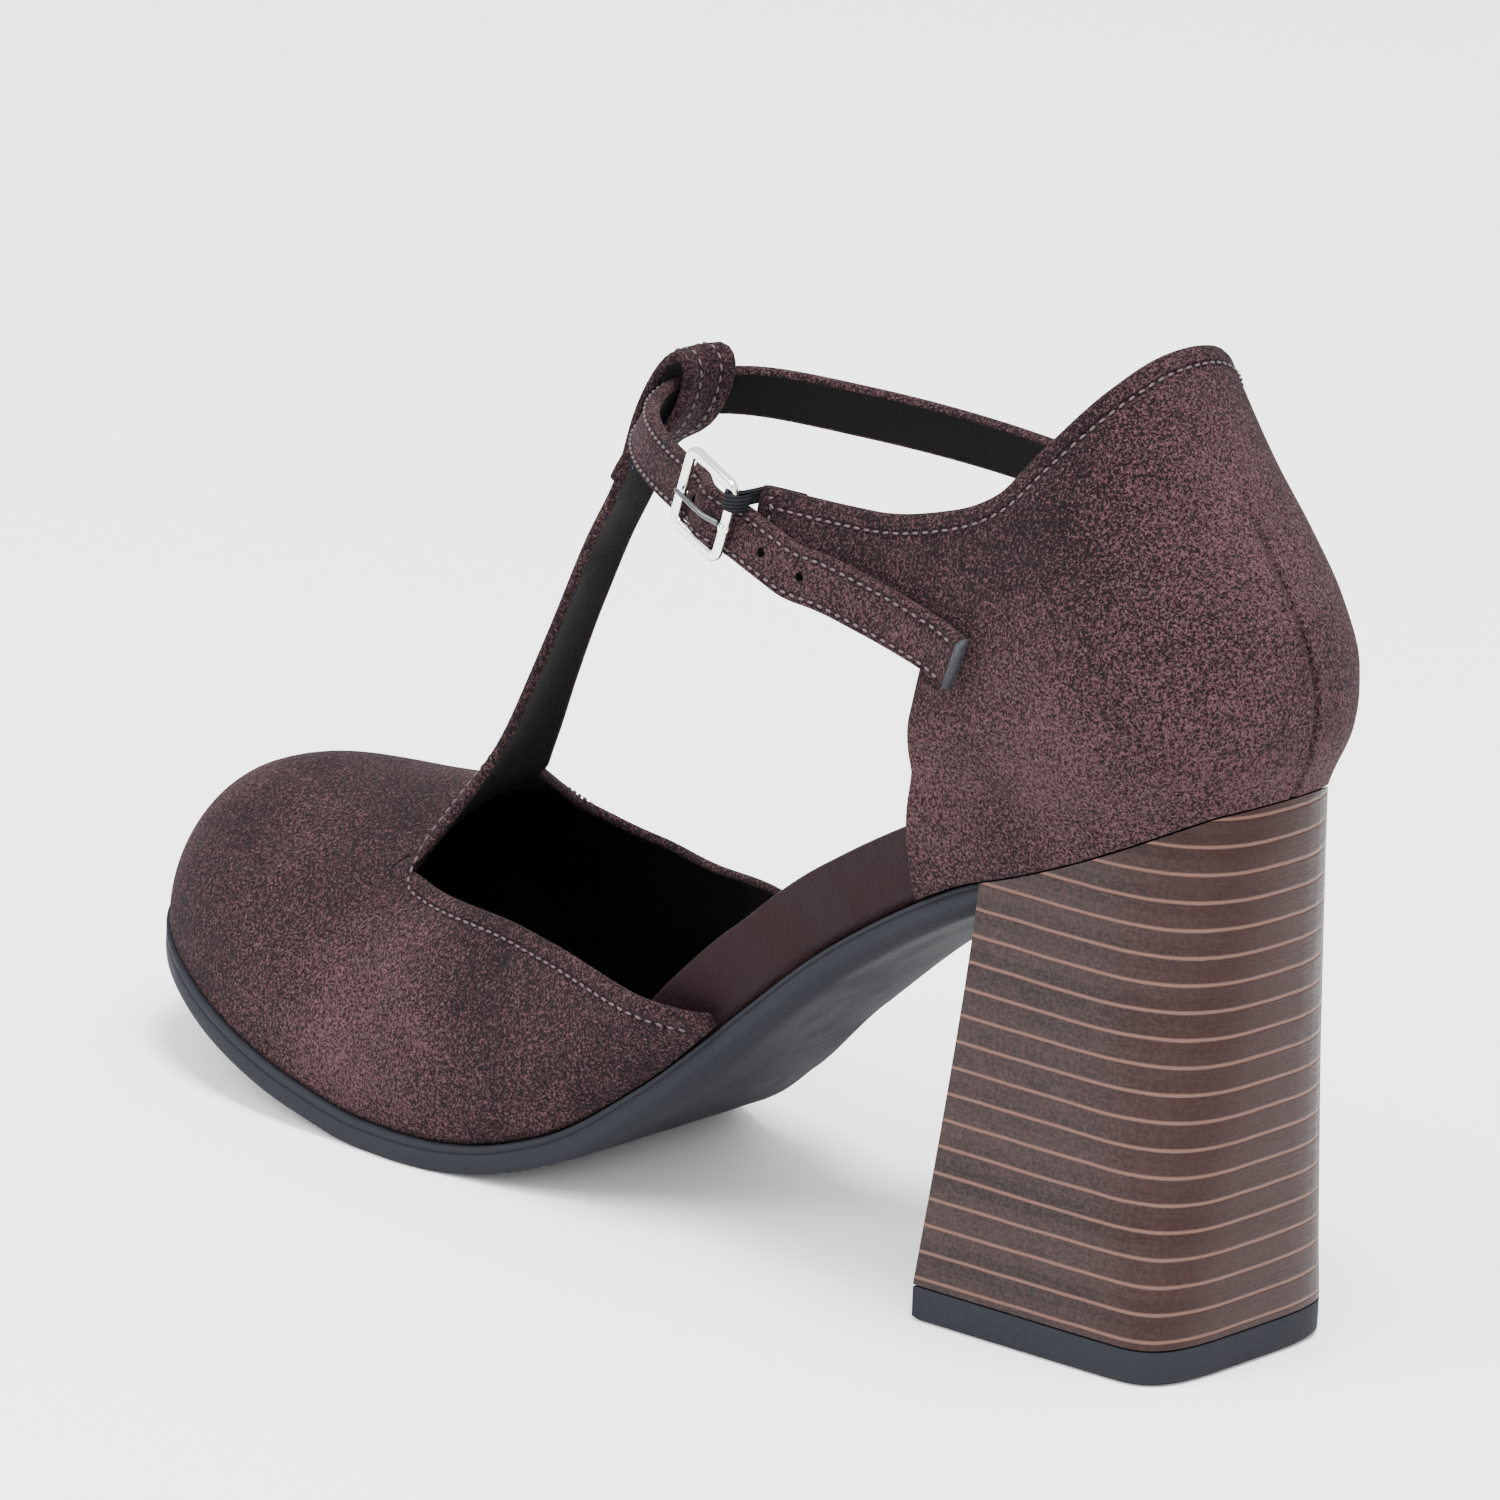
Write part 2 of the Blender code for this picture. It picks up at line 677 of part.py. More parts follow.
def full_turns():
    """Turns round a whole section: outer wing, T-bar, inner wing."""
    outer = topline_turn(OUTER, THROAT)
    inner = topline_turn(INNER, THROAT)
    lift = np.linspace(0, 1, WING_COLUMNS + 1)
    bar = np.linspace(outer, math.pi - inner, BAR_COLUMNS + 1)[1:-1]
    turns = [(OUTER, outer * t) for t in lift]
    turns += [(OUTER, t) if t <= math.pi / 2 else (INNER, math.pi - t) for t in bar]
    turns += [(INNER, inner * t) for t in lift[::-1]]
    return turns


def t_bar_points():
    """Rows of the T-bar's front face, from the throat up and over the ankle strap."""
    lean = T_BAR_LEAN
    up_bar = np.array([0, -math.sin(lean), math.cos(lean)])
    out = np.array([0, math.cos(lean), math.sin(lean)])
    centre = np.array([0, STRAP_REACH, STRAP_HEIGHT])
    hold = STRAP_THICKNESS / 2 + 3 * CLEARANCE
    outside = hold + WALL
    reach = STRAP_WIDTH / 2 + 4 * CLEARANCE
    behind = -(hold - CLEARANCE - WALL)
    spine = [(np.array([0, row[0] * STRAP_REACH, row[1] * STRAP_HEIGHT]), row[2]) for row in T_BAR_ROWS]
    spine.append((centre + out * outside - up_bar * reach, 0.5))
    for angle in np.linspace(0, math.pi, 7):
        fold = out * math.cos(angle) + up_bar * math.sin(angle)
        spine.append((centre + up_bar * (reach + T_BAR_SLACK) + fold * outside, 0.5))
    spine.append((centre - out * outside - up_bar * reach, 0.5))
    spine.append((centre - out * behind - up_bar * (reach + 0.5 * T_BAR_FOLD), 0.5))
    spine.append((centre - out * behind - up_bar * (reach + 1.5 * T_BAR_FOLD), 0.5))
    return spine


def strap_fall(across):
    """How far the strap's round front falls back at a distance across the shoe."""
    depth = STRAP_REACH - TURN_BACK * SOLE_LENGTH
    return depth * (1 - end_round(abs(across) / (ANKLE_WIDTH / 2), TURN_POWER))


def make_vamp():
    """The vamp and its T-bar, cut in one, with the T-bar's top folded over the strap."""
    turns = full_turns()
    points = []
    rows = []
    toe = spaced_shares(THROAT, 1.0, 17)[:-1]
    for share in toe:
        first = len(points)
        points += [vamp_point(side, share, turn) for side, turn in turns]
        rows.append(list(range(first, first + len(turns))))
    points.append(vamp_point(OUTER, 1.0, 0.0))
    rows.append([len(points) - 1] * len(turns))
    faces = grid_faces(rows)
    throat_row = rows[0]
    lift = np.linspace(0, 1, WING_COLUMNS + 1)
    back = np.linspace(THROAT, VAMP_BACK, 16)[1:]
    for side, start in ((OUTER, throat_row[:WING_COLUMNS + 1]), (INNER, throat_row[-WING_COLUMNS - 1:])):
        wing = [start]
        for share in back:
            first = len(points)
            turns_here = topline_turn(side, share) * (lift if side == OUTER else lift[::-1])
            points += [vamp_point(side, share, turn) for turn in turns_here]
            wing.append(list(range(first, first + len(lift))))
        faces += grid_faces(wing[::-1])
    bar_rows = [throat_row[WING_COLUMNS:WING_COLUMNS + BAR_COLUMNS + 1]]
    across = np.linspace(1, -1, BAR_COLUMNS + 1)
    for spot, half in t_bar_points():
        first = len(points)
        for t in across:
            side = t * half * T_BAR_WIDTH
            points.append(spot + np.array([side, -strap_fall(side), 0]))
        bar_rows.append(list(range(first, first + len(across))))
    faces += grid_faces(bar_rows[::-1])
    solid_points, solid_faces = thicken(np.array(points), tidy_faces(faces), WALL)
    return add_solid("vamp", solid_points, solid_faces, SUEDE, 50)


# Quarter
QUARTER_TURNS = 12
QUARTER_SIDES = 6
QUARTER_LIFTS = 16
TAB_LIFT = 9
FRONT_FLARE = 0.035
SEAM_DEPTH = 0.0006


def above_seat(height):
    """Height above the back of the seat, as a share of the back's height."""
    return (height - SEAT_HEIGHT) / BACK_HEIGHT


def quarter_across(along, height):
    """Half width of the quarter's outer face at a place along and a height."""
    level = above_seat(height)
    depth = quarter_round(level)
    start = back_edge(level)
    flare = FRONT_FLARE * np.maximum(along - 0.030, 0)
    return quarter_half(level) * end_round(1 - (along - start) / depth, 2.1) + flare


def quarter_point(side, column_share, height):
    """A point of the quarter's outer face, on a column counted from the back, at a height."""
    level = above_seat(height)
    split = QUARTER_TURNS / (QUARTER_TURNS + QUARTER_SIDES)
    turn = min(column_share / split, 1) * math.pi / 2
    run = max((column_share - split) / (1 - split), 0)
    depth = quarter_round(level)
    start = back_edge(level)
    front = front_edge(level) * SOLE_LENGTH
    round_along = start + depth * (1 - math.cos(turn) ** (2 / 2.1))
    along = round_along + (front - round_along) * run
    across = side * quarter_across(along, height)
    seat_along = seat_round(turn)
    seat_along += (QUARTER_FRONT * SOLE_LENGTH - seat_along) * run
    seat_across = feather_point(side, seat_along / SOLE_LENGTH)[0]
    lift = height - feather_height(seat_along)
    tuck = np.clip(1 - lift / TUCK_HEIGHT, 0, 1) ** 2
    return np.array([
        across + (seat_across - across) * tuck,
        along + (seat_along - along) * tuck,
        height,
    ])


def seat_of(column_share):
    """Height of the feather line under a column of the quarter."""
    split = QUARTER_TURNS / (QUARTER_TURNS + QUARTER_SIDES)
    turn = min(column_share / split, 1) * math.pi / 2
    run = max((column_share - split) / (1 - split), 0)
    along = seat_round(turn)
    along += (QUARTER_FRONT * SOLE_LENGTH - along) * run
    return feather_height(along) + CLEARANCE


def collar_of(side, column_share):
    """Height at which a column of the quarter meets the topline, found by halving."""
    low = SEAT_HEIGHT
    high = SEAT_HEIGHT + 1.05 * BACK_HEIGHT
    for _ in range(30):
        middle = (low + high) / 2
        share = quarter_point(side, column_share, middle)[1] / SOLE_LENGTH
        if middle < SEAT_HEIGHT + BACK_HEIGHT * min(collar_height(share), 1.0):
            low = middle
        else:
            high = middle
    return (low + high) / 2


def make_quarter():
    """The quarter, with its peaked back, and a tab on each side that runs forward."""
    shares = np.linspace(0, 1, QUARTER_TURNS + QUARTER_SIDES + 1)
    columns = [(OUTER, share) for share in shares[::-1]] + [(INNER, share) for share in shares[1:]]
    tab_low = SEAT_HEIGHT + OUTER_TAB_ROWS[0][1] * BACK_HEIGHT
    points = []
    lines = []
    for side, share in columns:
        foot = seat_of(share)
        top = collar_of(side, share)
        bend = foot + (tab_low - foot) * (0.35 + 0.65 * share) if share > 0 else foot + (tab_low - foot) * 0.35
        lower = foot + (bend - foot) * np.linspace(0, 1, TAB_LIFT + 1)
        upper = bend + (top - bend) * np.linspace(0, 1, QUARTER_LIFTS - TAB_LIFT + 1)[1:]
        first = len(points)
        for height in np.concatenate([lower, upper]):
            spot = quarter_point(side, share, height)
            if share == 0:
                spot[1] += SEAM_DEPTH * np.clip(1.6 - 2.4 * (height - foot) / (top - foot), 0, 1)
            points.append(spot)
        lines.append(list(range(first, first + QUARTER_LIFTS + 1)))
    faces = grid_faces(lines)
    for side, start, rows in ((OUTER, lines[0], OUTER_TAB_ROWS), (INNER, lines[-1], INNER_TAB_ROWS)):
        tab = [start[TAB_LIFT:]]
        for share, low in rows[1:]:
            first = len(points)
            high = collar_height(share)
            for t in np.linspace(0, 1, QUARTER_LIFTS - TAB_LIFT + 1):
                height = SEAT_HEIGHT + BACK_HEIGHT * (low + (high - low) * t)
                along = share * SOLE_LENGTH
                points.append(np.array([side * quarter_across(along, height), along, height]))
            tab.append(list(range(first, first + QUARTER_LIFTS - TAB_LIFT + 1)))
        faces += grid_faces(tab[::-1] if side == OUTER else tab)
    solid_points, solid_faces = thicken(np.array(points), faces, WALL)
    return add_solid("quarter", solid_points, solid_faces, SUEDE, 50)


# Ankle strap
TAIL_GAP = 2 * CLEARANCE + STRAP_THICKNESS / 2
INNER_GAP = WALL + 3 * CLEARANCE + STRAP_THICKNESS / 2


def strap_route():
    """Middle of the ankle strap: from inside the inner tab, round the front, to the tail."""
    turn_height = column(STRAP_TURN_ROWS, 1)
    tail_height = column(STRAP_TAIL_ROWS, 1)
    pivot = TURN_BACK * SOLE_LENGTH
    route = []
    inner_height = turn_height(-1.0) * STRAP_HEIGHT
    inner_half = quarter_across(pivot, inner_height) - INNER_GAP
    outer_height = turn_height(1.0) * STRAP_HEIGHT
    outer_half = quarter_across(pivot, outer_height) + TAIL_GAP
    for share in np.linspace(0.240, TURN_BACK, 5)[:-1]:
        along = share * SOLE_LENGTH
        across = quarter_across(along, inner_height) - INNER_GAP
        route.append((-across, along, inner_height - 0.0004 * (pivot - along) / 0.01))
    for t in np.linspace(-1, 1, 45):
        angle = t * math.pi / 2
        half = outer_half if t > 0 else inner_half
        across = half * math.copysign(abs(math.sin(angle)) ** (2 / TURN_POWER), angle)
        along = pivot + (STRAP_REACH - pivot) * math.cos(angle) ** (2 / TURN_POWER)
        route.append((across, along, turn_height(t) * STRAP_HEIGHT))
    for share in np.linspace(TURN_BACK, STRAP_TAIL_ROWS[0][0], 9)[1:]:
        along = share * SOLE_LENGTH
        height = tail_height(share) * STRAP_HEIGHT
        route.append((quarter_across(along, height) + TAIL_GAP, along, height))
    return np.array(route)


def route_frames(route):
    """Direction, upward and outward unit vectors at each point of the strap's middle."""
    run = np.gradient(route, axis=0)
    run /= np.linalg.norm(run, axis=1)[:, None]
    front = np.clip((route[:, 1] - 0.6 * STRAP_REACH) / (0.4 * STRAP_REACH), 0, 1) ** 2
    lean = T_BAR_LEAN * front
    half = STRAP_WIDTH / 2
    narrow = quarter_across(route[:, 1], route[:, 2] + half) - quarter_across(route[:, 1], route[:, 2] - half)
    side_lean = np.sign(route[:, 0]) * narrow / STRAP_WIDTH * (1 - front)
    up = np.stack([side_lean, -np.sin(lean), np.cos(lean)], axis=-1)
    up -= run * np.sum(up * run, axis=1)[:, None]
    up /= np.linalg.norm(up, axis=1)[:, None]
    out = np.cross(run, up)
    middle = np.array([0, 0.5 * STRAP_REACH, 0])
    wrong = np.sum(out * (route - middle), axis=1) < 0
    out[wrong] *= -1
    return run, up, out


def band_section(width, thickness, chamfer):
    """Corners of a band's section: up and out of its middle."""
    w = width / 2
    t = thickness / 2
    return [
        (-w + chamfer, -t), (w - chamfer, -t), (w, -t + chamfer), (w, t - chamfer),
        (w - chamfer, t), (-w + chamfer, t), (-w, t - chamfer), (-w, -t + chamfer),
    ]


def make_strap():
    """The ankle strap, a flat band with slightly rounded edges."""
    route = strap_route()
    run, up, out = route_frames(route)
    section = band_section(STRAP_WIDTH, STRAP_THICKNESS, 0.18 * STRAP_THICKNESS)
    rings = []
    for spot, rise, away in zip(route, up, out):
        rings.append(np.array([spot + rise * a + away * b for a, b in section]))
    points, faces = loft(rings)
    return add_solid("ankle_strap", points, faces, SUEDE, 30)


# Buckle
BUCKLE_ALONG = 0.3921 * SOLE_LENGTH
BUCKLE_RISE = 0.0018
BUCKLE_TILT = math.radians(19)


def buckle_frame_axes():
    """Centre of the buckle and its directions: forward along the strap, up, out."""
    route = strap_route()
    half_way = len(route) // 2
    outer = route[half_way:]
    index = half_way + int(np.argmin(np.abs(outer[:, 1] - BUCKLE_ALONG)))
    run, _, out = route_frames(route)
    away = out[index].copy()
    away[2] = 0
    away /= np.linalg.norm(away)
    flat = np.array([-away[1], away[0], 0])
    if flat[1] < 0:
        flat = -flat
    forward = flat * math.cos(BUCKLE_TILT) + np.array([0, 0, math.sin(BUCKLE_TILT)])
    rise = np.array([0, 0, math.cos(BUCKLE_TILT)]) - flat * math.sin(BUCKLE_TILT)
    stand = STRAP_THICKNESS / 2 + 2.6 * CLEARANCE + BUCKLE_THICKNESS / 2
    centre = route[index] + rise * BUCKLE_RISE + away * stand
    return centre, forward, rise, away


def rounded_rectangle(length, height, corner, steps=4):
    """Points round a rectangle with round corners."""
    points = []
    for quadrant in range(4):
        sx = (1, -1, -1, 1)[quadrant]
        sy = (1, 1, -1, -1)[quadrant]
        for k in range(steps + 1):
            angle = (quadrant + k / steps) * math.pi / 2
            x = sx * (length / 2 - corner) + corner * math.cos(angle)
            y = sy * (height / 2 - corner) + corner * math.sin(angle)
            points.append((x, y))
    return points


def make_buckle_frame():
    """The rectangular frame, a closed ring of metal."""
    centre, forward, rise, away = buckle_frame_axes()
    outer = rounded_rectangle(BUCKLE_LENGTH, BUCKLE_HEIGHT, BUCKLE_CORNER)
    gap = 2 * BUCKLE_BAR
    corner = max(BUCKLE_CORNER - BUCKLE_BAR, 0.25 * BUCKLE_BAR)
    inner = rounded_rectangle(BUCKLE_LENGTH - gap, BUCKLE_HEIGHT - gap, corner)
    t = BUCKLE_THICKNESS / 2
    chamfer = 0.3 * BUCKLE_THICKNESS
    rings = []
    for inset, depth in ((0, -t + chamfer), (0, t - chamfer), (chamfer, t),
                         (1 - chamfer, t), (1, t - chamfer), (1, -t + chamfer),
                         (1 - chamfer, -t), (chamfer, -t)):
        mix = inset
        if inset == chamfer:
            mix = chamfer / BUCKLE_BAR
        if inset == 1 - chamfer:
            mix = 1 - chamfer / BUCKLE_BAR
        ring = []
        for (ax, ay), (bx, by) in zip(outer, inner):
            x = ax + (bx - ax) * mix
            y = ay + (by - ay) * mix
            ring.append(centre + forward * x + rise * y + away * depth)
        rings.append(np.array(ring))
    rings.append(rings[0])
    size = len(rings[0])
    points = np.vstack(rings[:-1])
    faces = []
    count = len(rings) - 1
    for k in range(count):
        for i in range(size):
            j = (i + 1) % size
            m = (k + 1) % count
            faces.append((k * size + i, k * size + j, m * size + j, m * size + i))
    return add_solid("buckle_frame", points, faces, SILVER_METAL, 40)


def make_prong():
    """The prong: from the rear bar across the strap to rest on the front bar."""
    centre, forward, rise, away = buckle_frame_axes()
    radius = PRONG_THICKNESS / 2
    rear = -(BUCKLE_LENGTH / 2 - BUCKLE_BAR - CLEARANCE)
    front = BUCKLE_LENGTH / 2 - 0.35 * BUCKLE_BAR
    rest = BUCKLE_THICKNESS / 2 + CLEARANCE + radius
    level = -0.4 * BUCKLE_RISE
    route = []
    for t in np.linspace(0, 1, 7):
        lift = rest * smooth_curve([0, 0.55, 0.8, 1], [0.12, 0.85, 1, 1])(t)
        route.append((rear + (front - rear) * t, lift, 1 - 0.35 * t))
    rings = []
    for along, lift, size in route:
        ring = []
        for k in range(8):
            angle = k * math.pi / 4
            side = rise * math.cos(angle) * radius * size
            out = away * math.sin(angle) * radius * size
            ring.append(centre + forward * along + away * lift + rise * level + side + out)
        rings.append(np.array(ring))
    points, faces = loft(rings)
    return add_solid("buckle_prong", points, faces, SILVER_METAL, 40)


def make_elastic():
    """The short elastic between the outer tab's tip and the buckle's rear bar."""
    centre, forward, rise, _ = buckle_frame_axes()
    tab_end = OUTER_TAB_ROWS[-1][0]
    height = SEAT_HEIGHT + BACK_HEIGHT * collar_height(tab_end) - ELASTIC_WIDTH / 2 + 5.5 * CLEARANCE
    tip = tab_end * SOLE_LENGTH
    hold = CLEARANCE + ELASTIC_THICKNESS / 2
    start = np.array([quarter_across(tip, height) - WALL, tip + 2 * hold, height])
    bar = centre - forward * (BUCKLE_LENGTH / 2 - BUCKLE_BAR / 2) + rise * 0.33 * BUCKLE_HEIGHT
    end = bar - forward * (BUCKLE_BAR / 2 + 1.5 * hold)
    route = start + (end - start) * np.linspace(0, 1, 4)[:, None]
    run = np.gradient(route, axis=0)
    run /= np.linalg.norm(run, axis=1)[:, None]
    section = band_section(ELASTIC_WIDTH, ELASTIC_THICKNESS, 0.1 * ELASTIC_THICKNESS)
    rings = []
    for spot, direction in zip(route, run):
        up = np.array([0, 0, 1]) - direction * direction[2]
        up /= np.linalg.norm(up)
        out = np.cross(direction, up)
        rings.append(np.array([spot + up * a + out * b for a, b in section]))
    points, faces = loft(rings)
    return add_solid("buckle_elastic", points, faces, BLACK_ELASTIC, 30)


make_outsole()
make_heel()
make_top_piece()
make_insole()
make_vamp()
make_quarter()
make_strap()
make_buckle_frame()
make_prong()
make_elastic()
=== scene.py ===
# %% [markdown]
# # A suede T-strap shoe
# The real shoe is cut from thin plum-brown suede, sewn along its edges and lasted over an insole.
# Here each soft piece is rebuilt at a fine resolution from the same curves as the CAD solid it stands for.
# That keeps every piece where the frame has it, and gives enough points for hems, seams and stitches.
# Inside the script a shoe point is (across, along, up), and along runs from the heel's back to the toe.

# %% Load the frame
import math
import bpy
import bmesh
import numpy as np
from mathutils import Matrix, Vector
from mathutils.bvhtree import BVHTree


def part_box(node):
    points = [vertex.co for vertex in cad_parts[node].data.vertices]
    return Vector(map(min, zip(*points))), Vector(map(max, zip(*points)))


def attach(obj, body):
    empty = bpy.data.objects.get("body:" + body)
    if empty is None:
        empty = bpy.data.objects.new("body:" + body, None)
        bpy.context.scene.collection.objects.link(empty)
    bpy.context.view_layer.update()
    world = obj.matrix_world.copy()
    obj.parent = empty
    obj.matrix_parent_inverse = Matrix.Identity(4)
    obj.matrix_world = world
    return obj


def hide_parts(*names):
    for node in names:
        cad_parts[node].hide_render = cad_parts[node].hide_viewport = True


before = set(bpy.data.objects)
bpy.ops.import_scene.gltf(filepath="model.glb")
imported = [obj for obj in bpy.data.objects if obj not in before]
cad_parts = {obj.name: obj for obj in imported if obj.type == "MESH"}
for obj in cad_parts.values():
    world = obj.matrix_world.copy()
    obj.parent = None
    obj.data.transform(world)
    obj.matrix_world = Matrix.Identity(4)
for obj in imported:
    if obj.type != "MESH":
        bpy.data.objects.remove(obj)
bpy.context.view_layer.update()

# %% [markdown]
# ## The last
# A shoe is made round a last, and its maker works from a few lengths and widths of it.
# The named sizes and tables here are those of the last, so the tables hold shares of them.
# A monotone cubic through each column reads the shape at any place, without overshooting.

# %% Sizes of the last
SOLE_LENGTH = 0.2295
SEAT_HEIGHT = 0.088
TOE_SPRING = 0.0185
BALL_WIDTH = 0.072
WAIST_WIDTH = 0.040
SEAT_WIDTH = 0.043
SEAT_BACK = 0.0035
ANKLE_WIDTH = 0.057
VAMP_HEIGHT = 0.050
BACK_HEIGHT = 0.0722
BACK_BULGE = 0.0075
WALL = 0.0018
CLEARANCE = 0.0003
OUTSOLE_THICKNESS = 0.0046
OUTSOLE_WAIST_THICKNESS = 0.0032
OUTSOLE_LEDGE = 0.0012
RIM_THICKNESS = 0.0115
FOOTBED_THICKNESS = 0.0040
FOOTBED_DISH = 0.0018
HEEL_BASE_DEPTH = 0.0485
HEEL_BASE_BACK = 0.0012
BREAST_SHARE = 0.173
STRAP_WIDTH = 0.0090
STRAP_THICKNESS = 0.0022
STRAP_REACH = 0.1265
STRAP_HEIGHT = SEAT_HEIGHT + 0.561 * BACK_HEIGHT
T_BAR_WIDTH = 0.0095
BUCKLE_LENGTH = 0.0135
BUCKLE_HEIGHT = 0.0150
BUCKLE_BAR = 0.0019
BUCKLE_THICKNESS = 0.0014
BUCKLE_CORNER = 0.0026
PRONG_THICKNESS = 0.0011
ELASTIC_WIDTH = 0.0032
ELASTIC_THICKNESS = 0.0010
QUARTER_FRONT = 0.228
VAMP_BACK = 0.414
THROAT = 0.737
TOE_ROUND_START = 0.76
SEAT_ROUND_END = 0.10
TURN_BACK = 0.315
TURN_POWER = 1.95
HEEL_MIDDLE = HEEL_BASE_DEPTH / 2 - HEEL_BASE_BACK
print("sole", 1000 * SOLE_LENGTH, "mm long, seat", 1000 * SEAT_HEIGHT, "mm high")

# %% Tables of the last
# Sole plan: share of length, middle line across / BALL_WIDTH, half width
PLAN_ROWS = (
    (0.00, 0.000, 0.490 * SEAT_WIDTH), (0.10, 0.004, 0.500 * SEAT_WIDTH), (0.20, 0.012, 0.498 * SEAT_WIDTH),
    (0.30, 0.018, 0.502 * WAIST_WIDTH), (0.40, 0.014, 0.500 * WAIST_WIDTH), (0.50, 0.000, 0.322 * BALL_WIDTH),
    (0.60, -0.030, 0.419 * BALL_WIDTH), (0.68, -0.056, 0.483 * BALL_WIDTH), (0.76, -0.066, 0.486 * BALL_WIDTH),
    (0.84, -0.064, 0.474 * BALL_WIDTH), (0.92, -0.058, 0.445 * BALL_WIDTH), (1.00, -0.050, 0.410 * BALL_WIDTH),
)

# Feather line: share of length, share of the seat's rise, share of the toe spring
RISE_ROWS = (
    (0.000, 1.036, 0.00), (0.045, 0.970, 0.00), (0.090, 0.910, 0.00), (0.142, 0.849, 0.00), (0.190, 0.800, 0.00),
    (0.243, 0.721, 0.00), (0.319, 0.583, 0.00), (0.398, 0.399, 0.00), (0.474, 0.208, 0.00), (0.553, 0.060, 0.00),
    (0.615, 0.008, 0.00), (0.645, 0.000, 0.00), (0.705, 0.000, 0.00), (0.774, 0.000, 0.14), (0.863, 0.000, 0.44),
    (0.929, 0.000, 0.71), (1.000, 0.000, 1.00),
)

# Vamp: share of length, crest above the feather / VAMP_HEIGHT, crest's shift to the inside and
# wall's overhang / BALL_WIDTH
VAMP_ROWS = (
    (0.42, 1.36, 0.050, 0.085), (0.50, 1.26, 0.050, 0.070), (0.60, 1.12, 0.048, 0.042), (0.68, 1.02, 0.044, 0.026),
    (0.757, 0.905, 0.036, 0.020), (0.85, 0.765, 0.020, 0.018), (0.94, 0.690, 0.006, 0.014), (1.00, 0.63, 0.000, 0.010),
)

# Vamp topline behind the throat: share of length, outer and inner height / VAMP_HEIGHT
TOPLINE_ROWS = (
    (0.416, 0.716, 0.716), (0.454, 0.744, 0.740), (0.503, 0.776, 0.770), (0.561, 0.808, 0.800),
    (0.624, 0.822, 0.790), (0.688, 0.822, 0.825), (0.737, 0.840, 0.910),
)

# Quarter: share of the back's height, back edge forward / BACK_BULGE, half width and depth of the
# round back / ANKLE_WIDTH
QUARTER_ROWS = (
    (0.00, -0.46, 0.420, 0.46), (0.07, -0.82, 0.462, 0.50), (0.16, -1.02, 0.500, 0.55), (0.30, -0.96, 0.512, 0.57),
    (0.43, -0.48, 0.498, 0.55), (0.56, 0.34, 0.468, 0.51), (0.70, 1.30, 0.420, 0.46), (0.85, 2.15, 0.370, 0.41),
    (1.00, 2.95, 0.330, 0.37),
)

# Quarter's topline: share of length, share of the back's height above the seat
COLLAR_ROWS = (
    (0.060, 1.020), (0.088, 0.985), (0.104, 0.915), (0.138, 0.762), (0.162, 0.665), (0.197, 0.607),
    (0.261, 0.562), (0.326, 0.556), (0.375, 0.555),
)

# Quarter's front edge: share of the back's height above the seat, share of length
FRONT_ROWS = (
    (-0.320, 0.2280), (-0.110, 0.2300), (0.065, 0.2226), (0.200, 0.2100), (0.300, 0.2033), (0.400, 0.2072),
    (0.600, 0.2122),
)

# Tabs that run forward from the quarter: share of length, lower edge as a share of the back's height
OUTER_TAB_ROWS = ((0.203, 0.300), (0.213, 0.348), (0.232, 0.382), (0.266, 0.410), (0.311, 0.440), (0.358, 0.468))
INNER_TAB_ROWS = ((0.203, 0.300), (0.211, 0.346), (0.225, 0.386), (0.245, 0.416), (0.266, 0.434), (0.291, 0.444))

# %% Tables of the straps
# Ankle strap round the front: share of the turn, height of its middle / STRAP_HEIGHT
STRAP_TURN_ROWS = (
    (-1.00, 0.976), (-0.60, 0.990), (-0.25, 1.003), (0.00, 1.000), (0.30, 0.990), (0.55, 0.978), (0.72, 0.963),
    (0.86, 0.941), (1.00, 0.914),
)

# Strap tail outside the quarter: share of length, height / STRAP_HEIGHT
STRAP_TAIL_ROWS = ((0.166, 0.860), (0.197, 0.877), (0.254, 0.900), (0.296, 0.912), (0.326, 0.914))

# Front of the T-bar: share of STRAP_REACH, share of STRAP_HEIGHT, share of T_BAR_WIDTH
T_BAR_ROWS = (
    (1.296, 0.4460, 0.90), (1.254, 0.5040, 0.70), (1.214, 0.5900, 0.57), (1.165, 0.7000, 0.50),
    (1.116, 0.8100, 0.50), (1.072, 0.8900, 0.50),
)
T_BAR_LEAN = math.radians(30)
T_BAR_FOLD = 0.0075
T_BAR_SLACK = 0.0020
print("strap", 1000 * STRAP_WIDTH, "mm wide")


# %% Smooth curves through the tables
def smooth_curve(stations, values):
    """A monotone cubic through the rows of a table, read by the function it returns."""
    x = np.asarray(stations, dtype=float)
    y = np.asarray(values, dtype=float)
    step = np.diff(x)
    rate = np.diff(y) / step
    slope = np.zeros(len(x))
    same_way = rate[:-1] * rate[1:] > 0
    before = 2 * step[1:] + step[:-1]
    after = step[1:] + 2 * step[:-1]
    safe_before = np.where(same_way, rate[:-1], 1)
    safe_after = np.where(same_way, rate[1:], 1)
    mean = (before + after) / (before / safe_before + after / safe_after)
    slope[1:-1] = np.where(same_way, mean, 0)
    slope[0] = rate[0]
    slope[-1] = rate[-1]

    def read(at):
        at = np.clip(at, x[0], x[-1])
        row = np.clip(np.searchsorted(x, at, side="right") - 1, 0, len(x) - 2)
        t = (at - x[row]) / step[row]
        ease = t * t * (3 - 2 * t)
        start = t * (1 - t) ** 2 * step[row]
        end = t * t * (t - 1) * step[row]
        return y[row] * (1 - ease) + y[row + 1] * ease + slope[row] * start + slope[row + 1] * end

    return read


